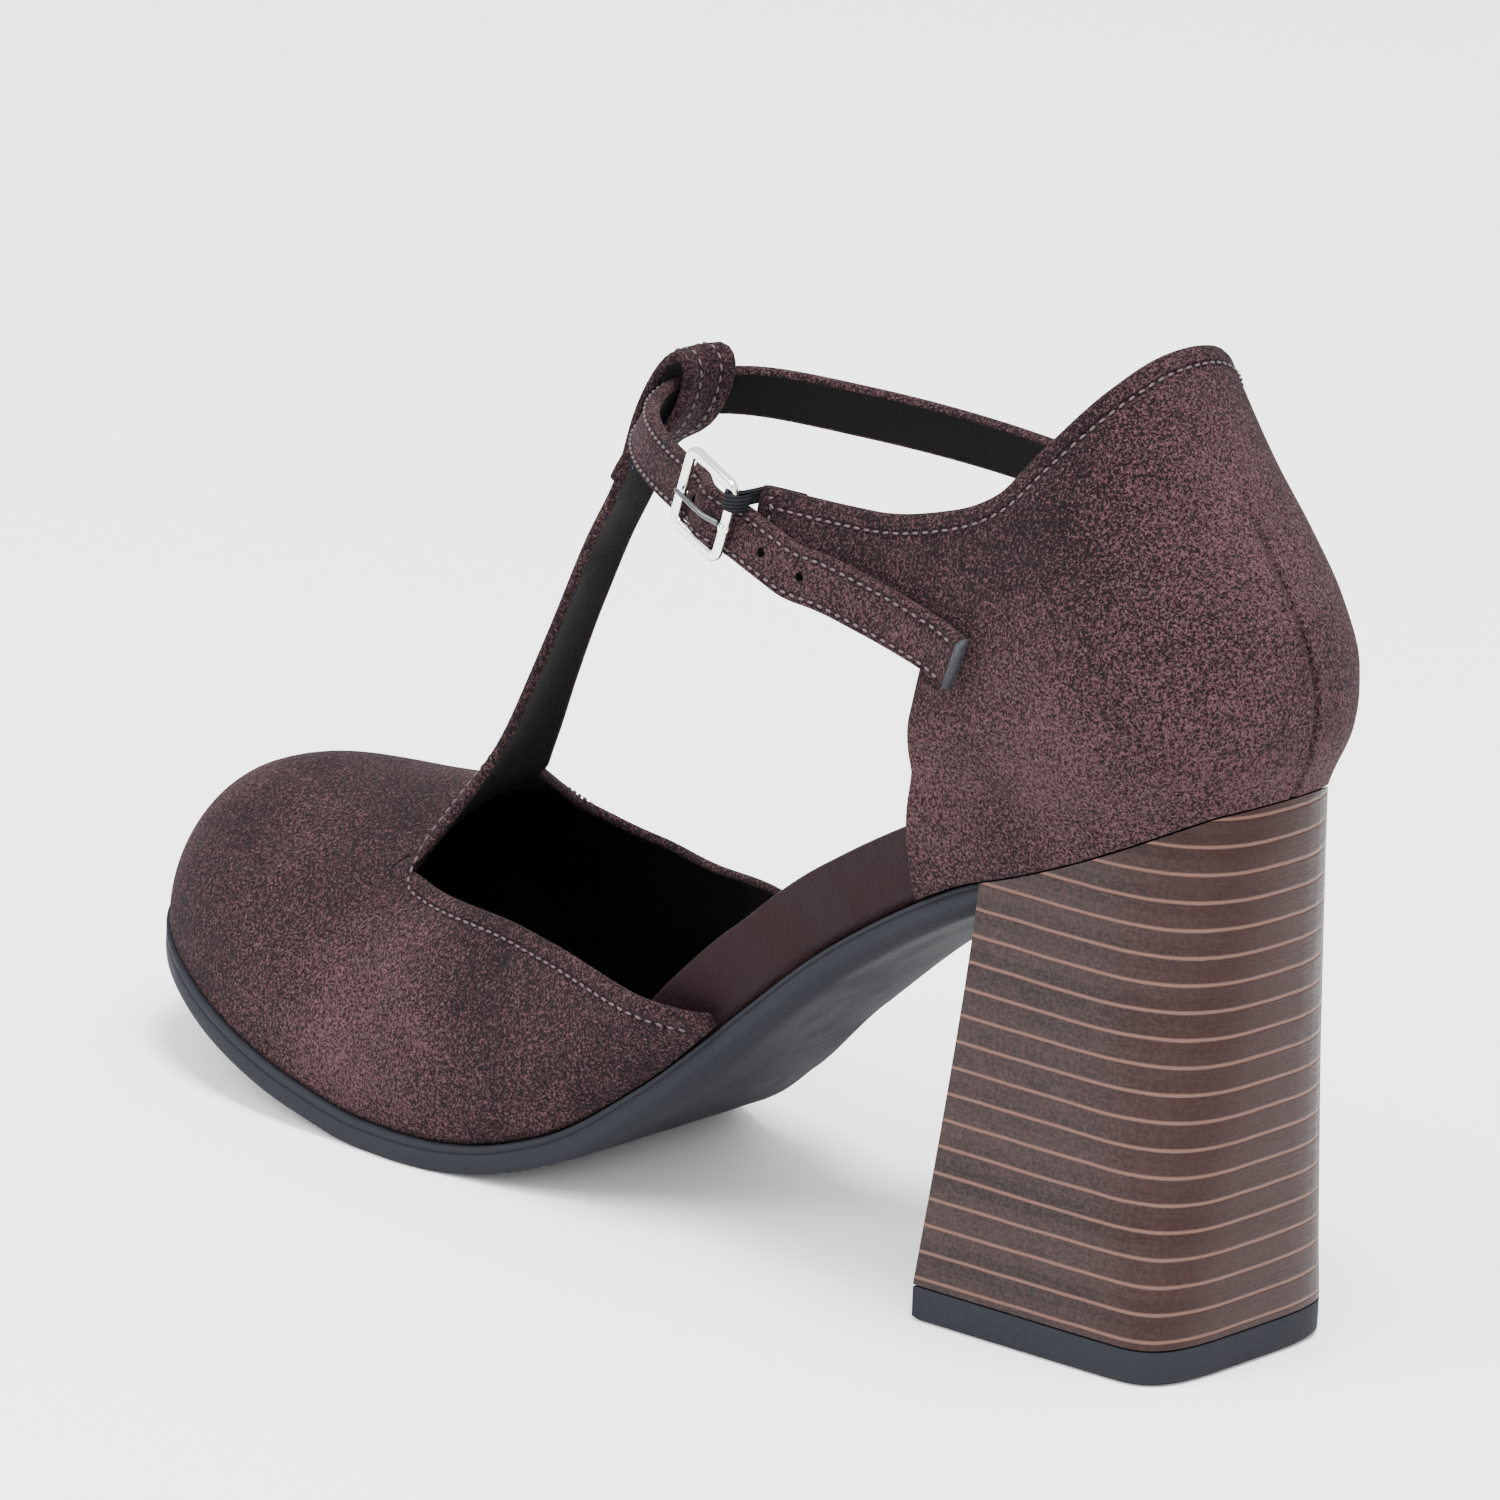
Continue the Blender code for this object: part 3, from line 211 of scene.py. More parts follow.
def column(rows, index, unit=1.0):
    """One column of a table times its unit, as a smooth function of the first column."""
    return smooth_curve([row[0] for row in rows], [row[index] * unit for row in rows])


plan_middle = column(PLAN_ROWS, 1, BALL_WIDTH)
plan_half = column(PLAN_ROWS, 2)
heel_rise = column(RISE_ROWS, 1)
toe_rise = column(RISE_ROWS, 2)
crest_height = column(VAMP_ROWS, 1, VAMP_HEIGHT)
crest_shift = column(VAMP_ROWS, 2, BALL_WIDTH)
vamp_overhang = column(VAMP_ROWS, 3, BALL_WIDTH)
back_edge = column(QUARTER_ROWS, 1, BACK_BULGE)
quarter_half = column(QUARTER_ROWS, 2, ANKLE_WIDTH)
quarter_round = column(QUARTER_ROWS, 3, ANKLE_WIDTH)
collar_height = column(COLLAR_ROWS, 1)
front_edge = column(FRONT_ROWS, 1)
OUTER = 1
INNER = -1
ROUND_POWER = 2.5
BEHIND = SEAT_BACK / SOLE_LENGTH


def end_round(gap, power=ROUND_POWER):
    """Width left at a rounded end, where gap runs from 1 at the tip to 0 inside."""
    gap = np.clip(gap, 0, 1)
    return (1 - gap ** power) ** (1 / power)


def toe_round(share):
    """Width left at a share of the length by the toe's rounding, from 1 to 0 at the tip."""
    return end_round((share - TOE_ROUND_START) / (1 - TOE_ROUND_START))


def feather_half(share):
    """Half width of the sole plan at a share of its length."""
    seat = end_round(1 - (share + BEHIND) / (SEAT_ROUND_END + BEHIND))
    return plan_half(share) * toe_round(share) * seat


def feather_height(along):
    """Height of the feather line, where the upper stands on the sole."""
    share = np.clip(along / SOLE_LENGTH, 0, 1)
    behind = np.maximum(-along / SOLE_LENGTH, 0)
    rise = SEAT_HEIGHT - OUTSOLE_THICKNESS
    return OUTSOLE_THICKNESS + rise * (heel_rise(share) + behind) + TOE_SPRING * toe_rise(share)


def seat_round(turn):
    """Place along the seat's rounded back, for a turn from its middle to its side."""
    depth = SEAT_ROUND_END * SOLE_LENGTH + SEAT_BACK
    return depth * (1 - np.cos(turn) ** (2 / ROUND_POWER)) - SEAT_BACK


def feather_slope(along):
    """How much longer the feather line is than its plan, from its slope."""
    step = 0.001
    climb = (feather_height(along + step) - feather_height(along - step)) / (2 * step)
    return np.sqrt(1 + climb ** 2)


def feather_point(side, share):
    """A point of the sole plan's edge: across and along."""
    return plan_middle(share) + side * feather_half(share), share * SOLE_LENGTH


def to_world(points):
    """Shoe points (across, along, up) to world points, with the toe along -Y."""
    points = np.asarray(points, dtype=float)
    world = points.copy()
    world[:, 1] = HEEL_MIDDLE - points[:, 1]
    return world


def unit(vectors):
    """Vectors of length 1."""
    return vectors / np.linalg.norm(vectors, axis=-1, keepdims=True)


def relax(line, passes):
    """A line whose inner points have moved towards their neighbours' middle a few times."""
    for _ in range(passes):
        line[1:-1] = (line[:-2] + 2 * line[1:-1] + line[2:]) / 4
    return line


def even_line(knots, count, passes=0):
    """Evenly spaced points on a smooth line through knots, the knots' distances along it and the points'."""
    run = np.concatenate([[0], np.cumsum(np.linalg.norm(np.diff(knots, axis=0), axis=1))])
    at = np.linspace(0, run[-1], count)
    line = np.stack([smooth_curve(run, knots[:, k])(at) for k in range(3)], axis=-1)
    return relax(line, passes), run, at


print("feather line at the ball", round(1000 * float(feather_height(0.67 * SOLE_LENGTH)), 1), "mm up")


# %% [markdown]
# ## Walls with turned edges
# The upper is a skin about 2 mm thick whose edges are folded over or cut and rubbed round.
# A Solidify modifier leaves square edges, so this wall is made in code: the surface, a copy of it one wall inside,
# and three rows of points between their borders that follow a half circle.
# The border also gives each point its distance from the edge, which the suede uses for its pressed stitch line,
# darkened as pressed nap and painted shade.

# %% Walls with turned edges
EDGE_STEPS = 4
EDGE_BULGE = 0.4


def add_row(points, spots):
    """Appends spots to points and gives their numbers."""
    first = len(points)
    points += spots
    return list(range(first, len(points)))


def marked(count, chosen):
    """True for the chosen numbers among the first count."""
    return np.isin(np.arange(count), sorted(chosen))


def grid_faces(rows):
    """Quads between rows of point numbers, all of one length."""
    faces = []
    for low, high in zip(rows, rows[1:]):
        for i in range(len(low) - 1):
            face = (low[i], low[i + 1], high[i + 1], high[i])
            corners = tuple(c for k, c in enumerate(face) if c != face[k - 1])
            if len(corners) > 2:
                faces.append(corners)
    return faces


def point_normals(points, faces):
    """Unit normals of a surface at its points, weighted by the faces' areas."""
    normals = np.zeros_like(points)
    for face in faces:
        corner = points[list(face)]
        normal = np.cross(corner, np.roll(corner, -1, axis=0)).sum(axis=0)
        for index in face:
            normals[index] += normal
    return unit(normals)


def border_edges(faces):
    """The edges with a face on one side only, in the faces' own direction."""
    joined = {(a, b) for face in faces for a, b in zip(face, face[1:] + face[:1])}
    return sorted((a, b) for a, b in joined if (b, a) not in joined)


def turned_wall(points, faces, foot):
    """A closed wall from an open surface. foot marks the points that stand on the sole and stay square.

    It gives the points, the faces, each face's side (0 outside, 1 inside), and the border
    as {point: (next point, direction away from the surface, normal)}.
    """
    points = np.asarray(points, dtype=float)
    normals = point_normals(points, faces)
    if np.sum(normals * (points - points.mean(axis=0))) < 0:
        faces = [tuple(reversed(face)) for face in faces]
        normals = -normals
    edges = border_edges(faces)
    away = np.zeros_like(points)
    for a, b in edges:
        outward = np.cross(points[b] - points[a], normals[a] + normals[b])
        away[a] += outward
        away[b] += outward
    rim = np.array([a for a, b in edges])
    away[rim] = unit(away[rim])
    place = {a: i for i, a in enumerate(rim)}
    count = len(points)
    rows = [points, points - normals * WALL]
    bulge = np.where(foot[rim], 0, EDGE_BULGE * WALL)[:, None]
    for k in range(1, EDGE_STEPS):
        angle = math.pi * k / EDGE_STEPS
        middle = points[rim] - normals[rim] * WALL / 2 * (1 - math.cos(angle))
        rows.append(middle + away[rim] * bulge * math.sin(angle))
    solid = list(faces) + [tuple(i + count for i in reversed(face)) for face in faces]
    side = [0] * len(faces) + [1] * len(faces)
    for a, b in edges:
        ladder = [(a, b)]
        for k in range(EDGE_STEPS - 1):
            first = 2 * count + k * len(rim)
            ladder.append((first + place[a], first + place[b]))
        ladder.append((a + count, b + count))
        for (p, q), (r, s) in zip(ladder, ladder[1:]):
            solid.append((q, p, r, s))
            side.append(0)
    border = {a: (b, away[a], normals[a]) for a, b in edges}
    return np.vstack(rows), solid, side, border


# %% From points to a piece
def add_object(name, data):
    """An object in the scene, at the origin."""
    thing = bpy.data.objects.new(name, data)
    bpy.context.collection.objects.link(thing)
    return thing


def set_attribute(mesh, name, values):
    """One number for each point, which a material reads by its name."""
    layer = mesh.attributes.new(name, "FLOAT", "POINT")
    layer.data.foreach_set("value", np.asarray(values, dtype=np.float32))


def make_piece(name, points, faces, materials, side=None, **attributes):
    """A closed, smooth-shaded mesh object at the origin, with its faces turned outwards."""
    world = to_world(points)
    volume = 0
    for face in faces:
        for b, c in zip(face[1:], face[2:]):
            volume += np.dot(world[face[0]], np.cross(world[b], world[c]))
    if volume < 0:
        faces = [tuple(reversed(face)) for face in faces]
    mesh = bpy.data.meshes.new(name)
    mesh.from_pydata(world.tolist(), [], [tuple(int(i) for i in face) for face in faces])
    for material in materials:
        mesh.materials.append(material)
    if side is not None:
        mesh.polygons.foreach_set("material_index", side)
    for key, values in attributes.items():
        set_attribute(mesh, key, values)
    mesh.shade_smooth()
    mesh.update()
    piece = add_object(name, mesh)
    print(name, len(points), "points,", len(faces), "faces,", round(abs(volume) / 6 * 1e6, 1), "cm3")
    return piece


def loft(rings, closed=False):
    """Points and faces of a body through rings of equal length, with two end caps or closed to a loop."""
    size, count = len(rings[0]), len(rings)
    faces = []
    for k in range(count if closed else count - 1):
        following = (k + 1) % count
        for i in range(size):
            j = (i + 1) % size
            faces.append((k * size + i, k * size + j, following * size + j, following * size + i))
    if not closed:
        faces.append(tuple(range(size)))
        faces.append(tuple((count - 1) * size + i for i in range(size)))
    return np.vstack(rings), faces


def sweep(line, ups, outs, section):
    """Rings of a section of (up, out) pairs along a line."""
    return [np.array([spot + up * a + out * b for a, b in section]) for spot, up, out in zip(line, ups, outs)]


def mirrored_ring(middle, along, start_up, right, between):
    """A section that starts on its middle line, from the (across, up) pairs of its right half and its far side."""
    outline = [(0, start_up)] + right + between + [(-across, up) for across, up in right[::-1]]
    return np.array([(middle + across, along, up) for across, up in outline])


def edge_distance(points, edge_points):
    """Distance of each point to the nearest of the edge's points, in metres."""
    return np.array([np.linalg.norm(edge_points - p, axis=1).min() for p in points])


def dress(piece, slot, *nodes):
    """Hands a finished piece to the frame: it rides on the shoe and stands for its CAD nodes."""
    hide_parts(*nodes)
    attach(piece, "root")


# %% [markdown]
# ## Shared surface effects
# Suede is leather sanded until its fibres stand up: a dull, soft surface with flecks where the nap lies another way.
# The same nap covers vamp, quarter and strap, so it is one node group, placed in the suede with its own values.
# It reads Object coordinates, which are the same for each piece, so the flecks have one size all over the shoe.
# A second group draws the fine grain that lining, leather, rubber, thread and metal share.


# %% Helpers for shader nodes
class Signal:
    """An output socket, whose arithmetic adds Math nodes to its tree."""

    def __init__(self, tree, socket):
        self.tree = tree
        self.socket = socket

    def maths(self, operation, *values):
        """The result of a Math node that takes this signal first."""
        inputs = dict(enumerate((self, *values)))
        return add_node(self.tree, "Math", inputs, 0, operation=operation)

    def spread(self, low, high, kind="SMOOTHSTEP"):
        """This signal between low and high, spread over 0 to 1."""
        inputs = {"Value": self, "From Min": low, "From Max": high}
        return add_node(self.tree, "MapRange", inputs, "Result", interpolation_type=kind)

    def __add__(self, other):
        return self.maths("ADD", other)

    def __sub__(self, other):
        return self.maths("SUBTRACT", other)

    def __rsub__(self, other):
        return self * -1.0 + other

    def __mul__(self, other):
        return self.maths("MULTIPLY", other)

    def __truediv__(self, other):
        return self.maths("DIVIDE", other)


def put(value, socket):
    """Sets a socket to a value, or links it to a signal."""
    if isinstance(value, Signal):
        value.tree.links.new(value.socket, socket)
    else:
        socket.default_value = value


def add_node(tree, kind, inputs, output, **settings):
    """Adds a shader node with its settings and inputs, and gives one of its outputs as a signal."""
    node = tree.nodes.new("ShaderNode" + kind)
    for label, value in settings.items():
        setattr(node, label, value)
    for label, value in inputs.items():
        put(value, node.inputs[label])
    return Signal(tree, node.outputs[output])


def set_inputs(node, **values):
    """Sets or links a node's inputs by their names, written with _ for a space."""
    for label, value in values.items():
        put(value, node.inputs[label.replace("_", " ")])


def noise(tree, vector, scale, detail=3.0, roughness=0.6):
    """The value of a Noise Texture."""
    inputs = {"Vector": vector, "Scale": scale, "Detail": detail, "Roughness": roughness}
    return add_node(tree, "TexNoise", inputs, "Fac")


def blend_colours(tree, share, first, second):
    """The colour between two colours at a share."""
    inputs = {"Factor": share, 6: first, 7: second}
    return add_node(tree, "Mix", inputs, 2, data_type="RGBA", clamp_factor=True)


def bump(tree, height, distance):
    """The normal of a Bump node."""
    return add_node(tree, "Bump", {"Height": height, "Distance": distance, "Strength": 1.0}, "Normal")


def object_place(tree):
    """Object coordinates, in metres."""
    return add_node(tree, "TexCoord", {}, "Object")


def object_height(tree):
    """Height above the floor, in metres."""
    return add_node(tree, "SeparateXYZ", {0: object_place(tree)}, "Z")


def read_attribute(tree, name):
    """A number that the mesh carries for each point."""
    return add_node(tree, "Attribute", {}, "Fac", attribute_name=name)


def new_group(name, inputs, outputs):
    """A shader node group: the group, its inputs as signals, and its output node."""
    group = bpy.data.node_groups.new(name, "ShaderNodeTree")
    for label, value in inputs.items():
        kind = "NodeSocketColor" if isinstance(value, tuple) else "NodeSocketFloat"
        group.interface.new_socket(label, in_out="INPUT", socket_type=kind).default_value = value
    for label, kind in outputs.items():
        group.interface.new_socket(label, in_out="OUTPUT", socket_type="NodeSocket" + kind)
    given = group.nodes.new("NodeGroupInput")
    signals = {label: Signal(group, given.outputs[label]) for label in inputs}
    return group, signals, group.nodes.new("NodeGroupOutput")


def place_group(tree, group, **values):
    """A node group in a material, with its inputs set by name: its outputs as signals."""
    node = tree.nodes.new("ShaderNodeGroup")
    node.node_tree = group
    set_inputs(node, **values)
    return {socket.name: Signal(tree, socket) for socket in node.outputs}


print("node helpers ready")

# %% The nap of suede
FIBRE_RATIO = 1.7
PATCH_SCALE = 55.0
PATCH_LIFT = 0.11
RUB_LIFT = 0.065
NAP_HEIGHT = 0.0016
nap_group, given, nap_out = new_group(
    "suede_nap",
    {"Deep": (0.05, 0.03, 0.03, 1), "Fleck": (0.2, 0.14, 0.15, 1), "Fleck Scale": 900.0, "Rubbed": 0.0, "Pressed": 0.0},
    {"Color": "Color", "Roughness": "Float", "Normal": "Vector"},
)
place = object_place(nap_group)
clumps = noise(nap_group, place, given["Fleck Scale"], 3.0, 0.62)
fibres = noise(nap_group, place, given["Fleck Scale"] * FIBRE_RATIO, 2.0, 0.7)
patches = noise(nap_group, place, PATCH_SCALE, 3.0, 0.55)
nap = clumps * 0.5 + fibres * 0.5
nap_shown = nap + (patches - 0.5) * PATCH_LIFT + given["Rubbed"] * RUB_LIFT
fleck = nap_shown.spread(0.490, 0.650, "LINEAR")
hue = blend_colours(nap_group, fleck, given["Deep"], given["Fleck"])
# Pressed lines and creases turn towards Deep: partly pressed nap, partly painted shade in the groove.
hue = blend_colours(nap_group, given["Pressed"] * 0.35, hue, given["Deep"])
relief = bump(nap_group, nap - given["Pressed"] * 0.8, NAP_HEIGHT)
set_inputs(nap_out, Color=hue, Roughness=0.98 - fleck * 0.15, Normal=relief)
print("suede nap:", len(nap_group.nodes), "nodes")

# %% Fine grain for smooth surfaces
SMUDGE_SCALE = 60.0
grain_group, given, grain_out = new_group(
    "fine_grain",
    {"Base": (0.1, 0.1, 0.1, 1), "Worn": (0.2, 0.2, 0.2, 1), "Grain Scale": 1500.0, "Wear": 0.3,
     "Low Roughness": 0.4, "High Roughness": 0.6},
    {"Color": "Color", "Roughness": "Float", "Height": "Float"},
)
place = object_place(grain_group)
grain = noise(grain_group, place, given["Grain Scale"], 4.0)
smudges = noise(grain_group, place, SMUDGE_SCALE, 4.0).spread(0.42, 0.68)
worn = smudges * given["Wear"] * grain.spread(0.3, 0.7)
hue = blend_colours(grain_group, worn, given["Base"], given["Worn"])
rough = smudges * (given["High Roughness"] - given["Low Roughness"]) + given["Low Roughness"]
set_inputs(grain_out, Color=hue, Roughness=rough, Height=grain)
print("fine grain:", len(grain_group.nodes), "nodes")

# %% [markdown]
# ## The materials
# Most materials are a Principled BSDF fed by one of the groups. Suede gets a weak, rough sheen on the shader's own
# socket, because its standing fibres catch light at the outline. The heel's stacked look is a thin print: dark layers
# parallel to the floor, parted by fine orange-brown lines, so Object Z divided by the layer's height draws it.


# %% A new material
def new_material(name, roughness, metallic=0.0, specular=0.5):
    """A material, its tree, and its Principled shader."""
    material = bpy.data.materials.new(name)
    material.use_nodes = True
    tree = material.node_tree
    shader = tree.nodes["Principled BSDF"]
    set_inputs(shader, Roughness=roughness, Metallic=metallic, Specular_IOR_Level=specular)
    return material, tree, shader


# %% Suede with a pressed line where the hem's stitches run, darkened as pressed nap and painted shade
HEM = 0.0024
HEM_HALF = 0.0007
suede, tree, shader = new_material("plum_suede", 0.95, specular=0.08)
# The hem's line and the creases are darkened: pressed nap and painted shade in their grooves.
off_line = (read_attribute(tree, "edge") - HEM).maths("ABSOLUTE")
line = 1.0 - off_line.spread(0.0, HEM_HALF)
nap = place_group(
    tree, nap_group, Deep=(0.0030, 0.0012, 0.0014, 1), Fleck=(0.1000, 0.0480, 0.0545, 1), Fleck_Scale=1850.0,
    Rubbed=read_attribute(tree, "rub"), Pressed=line.maths("MAXIMUM", read_attribute(tree, "crease")),
)
set_inputs(
    shader, Base_Color=nap["Color"], Roughness=nap["Roughness"], Normal=nap["Normal"],
    Sheen_Weight=0.04, Sheen_Roughness=0.6, Sheen_Tint=(0.75, 0.55, 0.55, 1),
)
print("suede:", suede.name)


# %% Smooth leather, lining, rubber, thread and metal
def make_smooth(name, base, worn, scale, wear, low, high, bump_depth, **settings):
    """A smooth surface with a fine grain and faint smudges."""
    material, tree, shader = new_material(name, high, **settings)
    grain = place_group(
        tree, grain_group, Base=(*base, 1), Worn=(*worn, 1), Grain_Scale=scale, Wear=wear,
        Low_Roughness=low, High_Roughness=high,
    )
    normal = bump(tree, grain["Height"], bump_depth)
    set_inputs(shader, Base_Color=grain["Color"], Roughness=grain["Roughness"], Normal=normal)
    return material


rim_cover = make_smooth(
    "rim_cover", (0.0095, 0.0032, 0.0038), (0.016, 0.0065, 0.0078), 1400.0, 0.7, 0.58, 0.75, 0.00025, specular=0.10
)
lining = make_smooth(
    "black_lining", (0.0030, 0.0024, 0.0026), (0.0085, 0.0070, 0.0075), 1800.0, 0.6, 0.70, 0.85, 0.0003, specular=0.08
)
footbed_leather = make_smooth(
    "footbed_leather", (0.016, 0.011, 0.011), (0.030, 0.022, 0.021), 1600.0, 0.6, 0.60, 0.8, 0.0003, specular=0.12
)
rubber = make_smooth(
    "dark_rubber", (0.0125, 0.0135, 0.0170), (0.0230, 0.0250, 0.0300), 900.0, 0.30, 0.68, 0.82, 0.0002, specular=0.09
)
thread = make_smooth("plum_thread", (0.045, 0.026, 0.028), (0.10, 0.066, 0.070), 2500.0, 0.6, 0.5, 0.7, 0.0002)
cut_leather = make_smooth("cut_leather", (0.012, 0.0135, 0.018), (0.075, 0.078, 0.092), 1600.0, 0.9, 0.6, 0.8, 0.0006)
silver = make_smooth(
    "polished_silver", (0.83, 0.82, 0.79), (0.70, 0.69, 0.66), 700.0, 0.5, 0.10, 0.24, 0.00003, metallic=1.0
)
# Painted shade: a darker copy of the buckle's metal for the prong's bar, standing in for the shade and dark reflection
# of the strap.
painted_shade_metal = make_smooth(
    "shaded_steel", (0.090, 0.090, 0.095), (0.15, 0.15, 0.15), 700.0, 0.5, 0.25, 0.35, 0.00003, metallic=1.0
)
print("smooth materials ready")

# %% Woven elastic
RIB_PITCH = 0.0006
elastic, tree, shader = new_material("woven_elastic", 0.9, specular=0.1)
rib = (object_height(tree) * (2 * math.pi / RIB_PITCH)).maths("SINE").spread(-1.0, 1.0)
hue = blend_colours(tree, rib, (0.004, 0.004, 0.005, 1), (0.014, 0.014, 0.016, 1))
set_inputs(shader, Base_Color=hue, Normal=bump(tree, rib, 0.0002))
print("elastic ribs every", 1000 * RIB_PITCH, "mm")

# %% Stacked heel
LAYER = 0.0044
LAYER_START = 0.0072
LAYER_LINE = 0.00034
LAYER_WOBBLE = 0.0006
stacked, tree, shader = new_material("stacked_heel", 0.5, specular=0.12)
place = object_place(tree)
wobble = (noise(tree, place, 45.0, 2.0) - 0.5) * LAYER_WOBBLE
layers = (object_height(tree) - LAYER_START + wobble) / LAYER
off_line = layers.maths("PINGPONG", 0.5) * LAYER
line = 1.0 - off_line.spread(0.4 * LAYER_LINE, 1.3 * LAYER_LINE)
flat_grain = add_node(tree, "Mapping", {"Vector": place, "Scale": (0.05, 0.05, 1.0)}, "Vector")
streaks = noise(tree, flat_grain, 3600.0, 4.0, 0.8)
streaked = streaks.spread(0.3, 0.7)
tone = add_node(tree, "TexWhiteNoise", {"W": layers.maths("ROUND")}, "Value", noise_dimensions="1D")
speckle = noise(tree, place, 1500.0, 3.0, 0.7).spread(0.38, 0.64)
shade = tone * 0.22 + streaked * 0.38 + speckle * 0.40
hue = blend_colours(tree, shade, (0.0040, 0.0020, 0.0020, 1), (0.0430, 0.0260, 0.0250, 1))
# Painted shade: the heel turns darker and reddish towards its back, and less rough there.
back_shade_and_gloss = read_attribute(tree, "back")
hue = blend_colours(tree, back_shade_and_gloss * 0.70, hue, (0.020, 0.0050, 0.0028, 1))
hue = blend_colours(tree, line * 0.85, hue, (0.125, 0.066, 0.050, 1))
rough = streaked * 0.18 + 0.42 - back_shade_and_gloss * 0.12
set_inputs(shader, Base_Color=hue, Roughness=rough, Normal=bump(tree, streaks * 0.5 - line, 0.00025))
print("heel layers", 1000 * LAYER, "mm high, about", round((SEAT_HEIGHT - LAYER_START) / LAYER), "of them")

# %% [markdown]
# ## Vamp and T-bar
# One piece of suede covers the toes and runs on up the instep as the T-bar, whose end folds back over the ankle strap.
# It is a grid: turns round the foot by shares along it, with the bar as more rows from the throat upwards.
# Writing the grid from the last's curves keeps quads along the topline, which a clean hem and its stitches need.

# %% Sections of the vamp
TUCK_HEIGHT = 0.016
LEAST_RISE = 0.0016
VAMP_POWER = {OUTER: 1.8, INNER: 2.3}
WING_COLUMNS = 26
BAR_COLUMNS = 16
T_BAR_ROW_COUNT = 60
TOE_ROWS = 60
WING_ROWS = 46
CREST_ROUND_START = 0.78
CREST_POWER = 2.6
topline = {side: column(TOPLINE_ROWS, index, VAMP_HEIGHT) for side, index in ((OUTER, 1), (INNER, 2))}


def crest_at(share):
    """Crest above the feather line, rounded down at the toe."""
    return crest_height(share) * end_round((share - CREST_ROUND_START) / (1 - CREST_ROUND_START), CREST_POWER)


def vamp_point(side, share, turn):
    """A point of the vamp's outer face, for a turn from the feather line up to the crest."""
    along = share * SOLE_LENGTH
    over = vamp_overhang(share) * toe_round(share)
    shift = crest_shift(share) * toe_round(share)
    reach = feather_half(share) + over + side * shift
    rise = crest_at(share) * np.sin(turn) ** (2 / VAMP_POWER[side])
    level = np.cos(turn) ** (2 / VAMP_POWER[side])
    tuck = np.clip(1 - rise / TUCK_HEIGHT, 0, 1) ** 2
    across = plan_middle(share) - shift + side * (reach * level - over * tuck)
    return np.array([across, along, feather_height(along) + CLEARANCE + rise])


def topline_turn(side, share):
    """The turn at which the vamp's section meets its topline."""
    rise = max(topline[side](share) - feather_height(share * SOLE_LENGTH), LEAST_RISE)
    return math.asin(min(rise / crest_at(share), 1) ** (VAMP_POWER[side] / 2))


def full_turns():
    """Turns round a whole section: outer wing, T-bar, inner wing."""
    outer = topline_turn(OUTER, THROAT)
    inner = topline_turn(INNER, THROAT)
    lift = np.linspace(0, 1, WING_COLUMNS + 1)
    bar = np.linspace(outer, math.pi - inner, BAR_COLUMNS + 1)[1:-1]
    turns = [(OUTER, outer * t) for t in lift]
    turns += [(OUTER, t) if t <= math.pi / 2 else (INNER, math.pi - t) for t in bar]
    turns += [(INNER, inner * t) for t in lift[::-1]]
    return turns


def t_bar_points():
    """Rows of the T-bar's front face, from the throat up and over the ankle strap, with half width shares."""
    up_bar = np.array([0, -math.sin(T_BAR_LEAN), math.cos(T_BAR_LEAN)])
    out = np.array([0, math.cos(T_BAR_LEAN), math.sin(T_BAR_LEAN)])
    centre = np.array([0, STRAP_REACH, STRAP_HEIGHT])
    hold = STRAP_THICKNESS / 2 + 3 * CLEARANCE
    outside = hold + WALL
    inside = hold - CLEARANCE - WALL
    reach = STRAP_WIDTH / 2 + 4 * CLEARANCE
    front = [(np.array([0, along * STRAP_REACH, up * STRAP_HEIGHT]), half) for along, up, half in T_BAR_ROWS]
    loop = [centre + out * outside - up_bar * reach]
    for angle in np.linspace(0, math.pi, 7):
        fold = out * math.cos(angle) + up_bar * math.sin(angle)
        loop.append(centre + up_bar * (reach + T_BAR_SLACK) + fold * outside)
    loop.append(centre - out * outside - up_bar * reach)
    loop += [centre + out * inside - up_bar * (reach + down * T_BAR_FOLD) for down in (0.5, 1.5)]
    return front + [(spot, 0.5) for spot in loop]


def strap_fall(across):
    """How far the strap's round front falls back at a distance across the shoe."""
    depth = STRAP_REACH - TURN_BACK * SOLE_LENGTH
    return depth * (1 - end_round(abs(across) / (ANKLE_WIDTH / 2), TURN_POWER))


def spaced_shares(start, end, count):
    """Shares along the shoe, closer together towards the end."""
    turn = np.linspace(0, math.pi / 2, count)
    return start + (end - start) * np.sin(turn)


def fine_t_bar():
    """The T-bar's rows, with more of them along a smooth path."""
    rows = t_bar_points()
    spots = np.array([spot for spot, half in rows])
    smooth, run, at = even_line(spots, T_BAR_ROW_COUNT, passes=5)
    return list(zip(smooth, smooth_curve(run, [half for spot, half in rows])(at)))


# %% Build the vamp
LEAST_RUN = 8
VAMP_RUBS = (((-0.002, 0.226, 0.036), 0.024), ((0.030, 0.165, 0.014), 0.030))


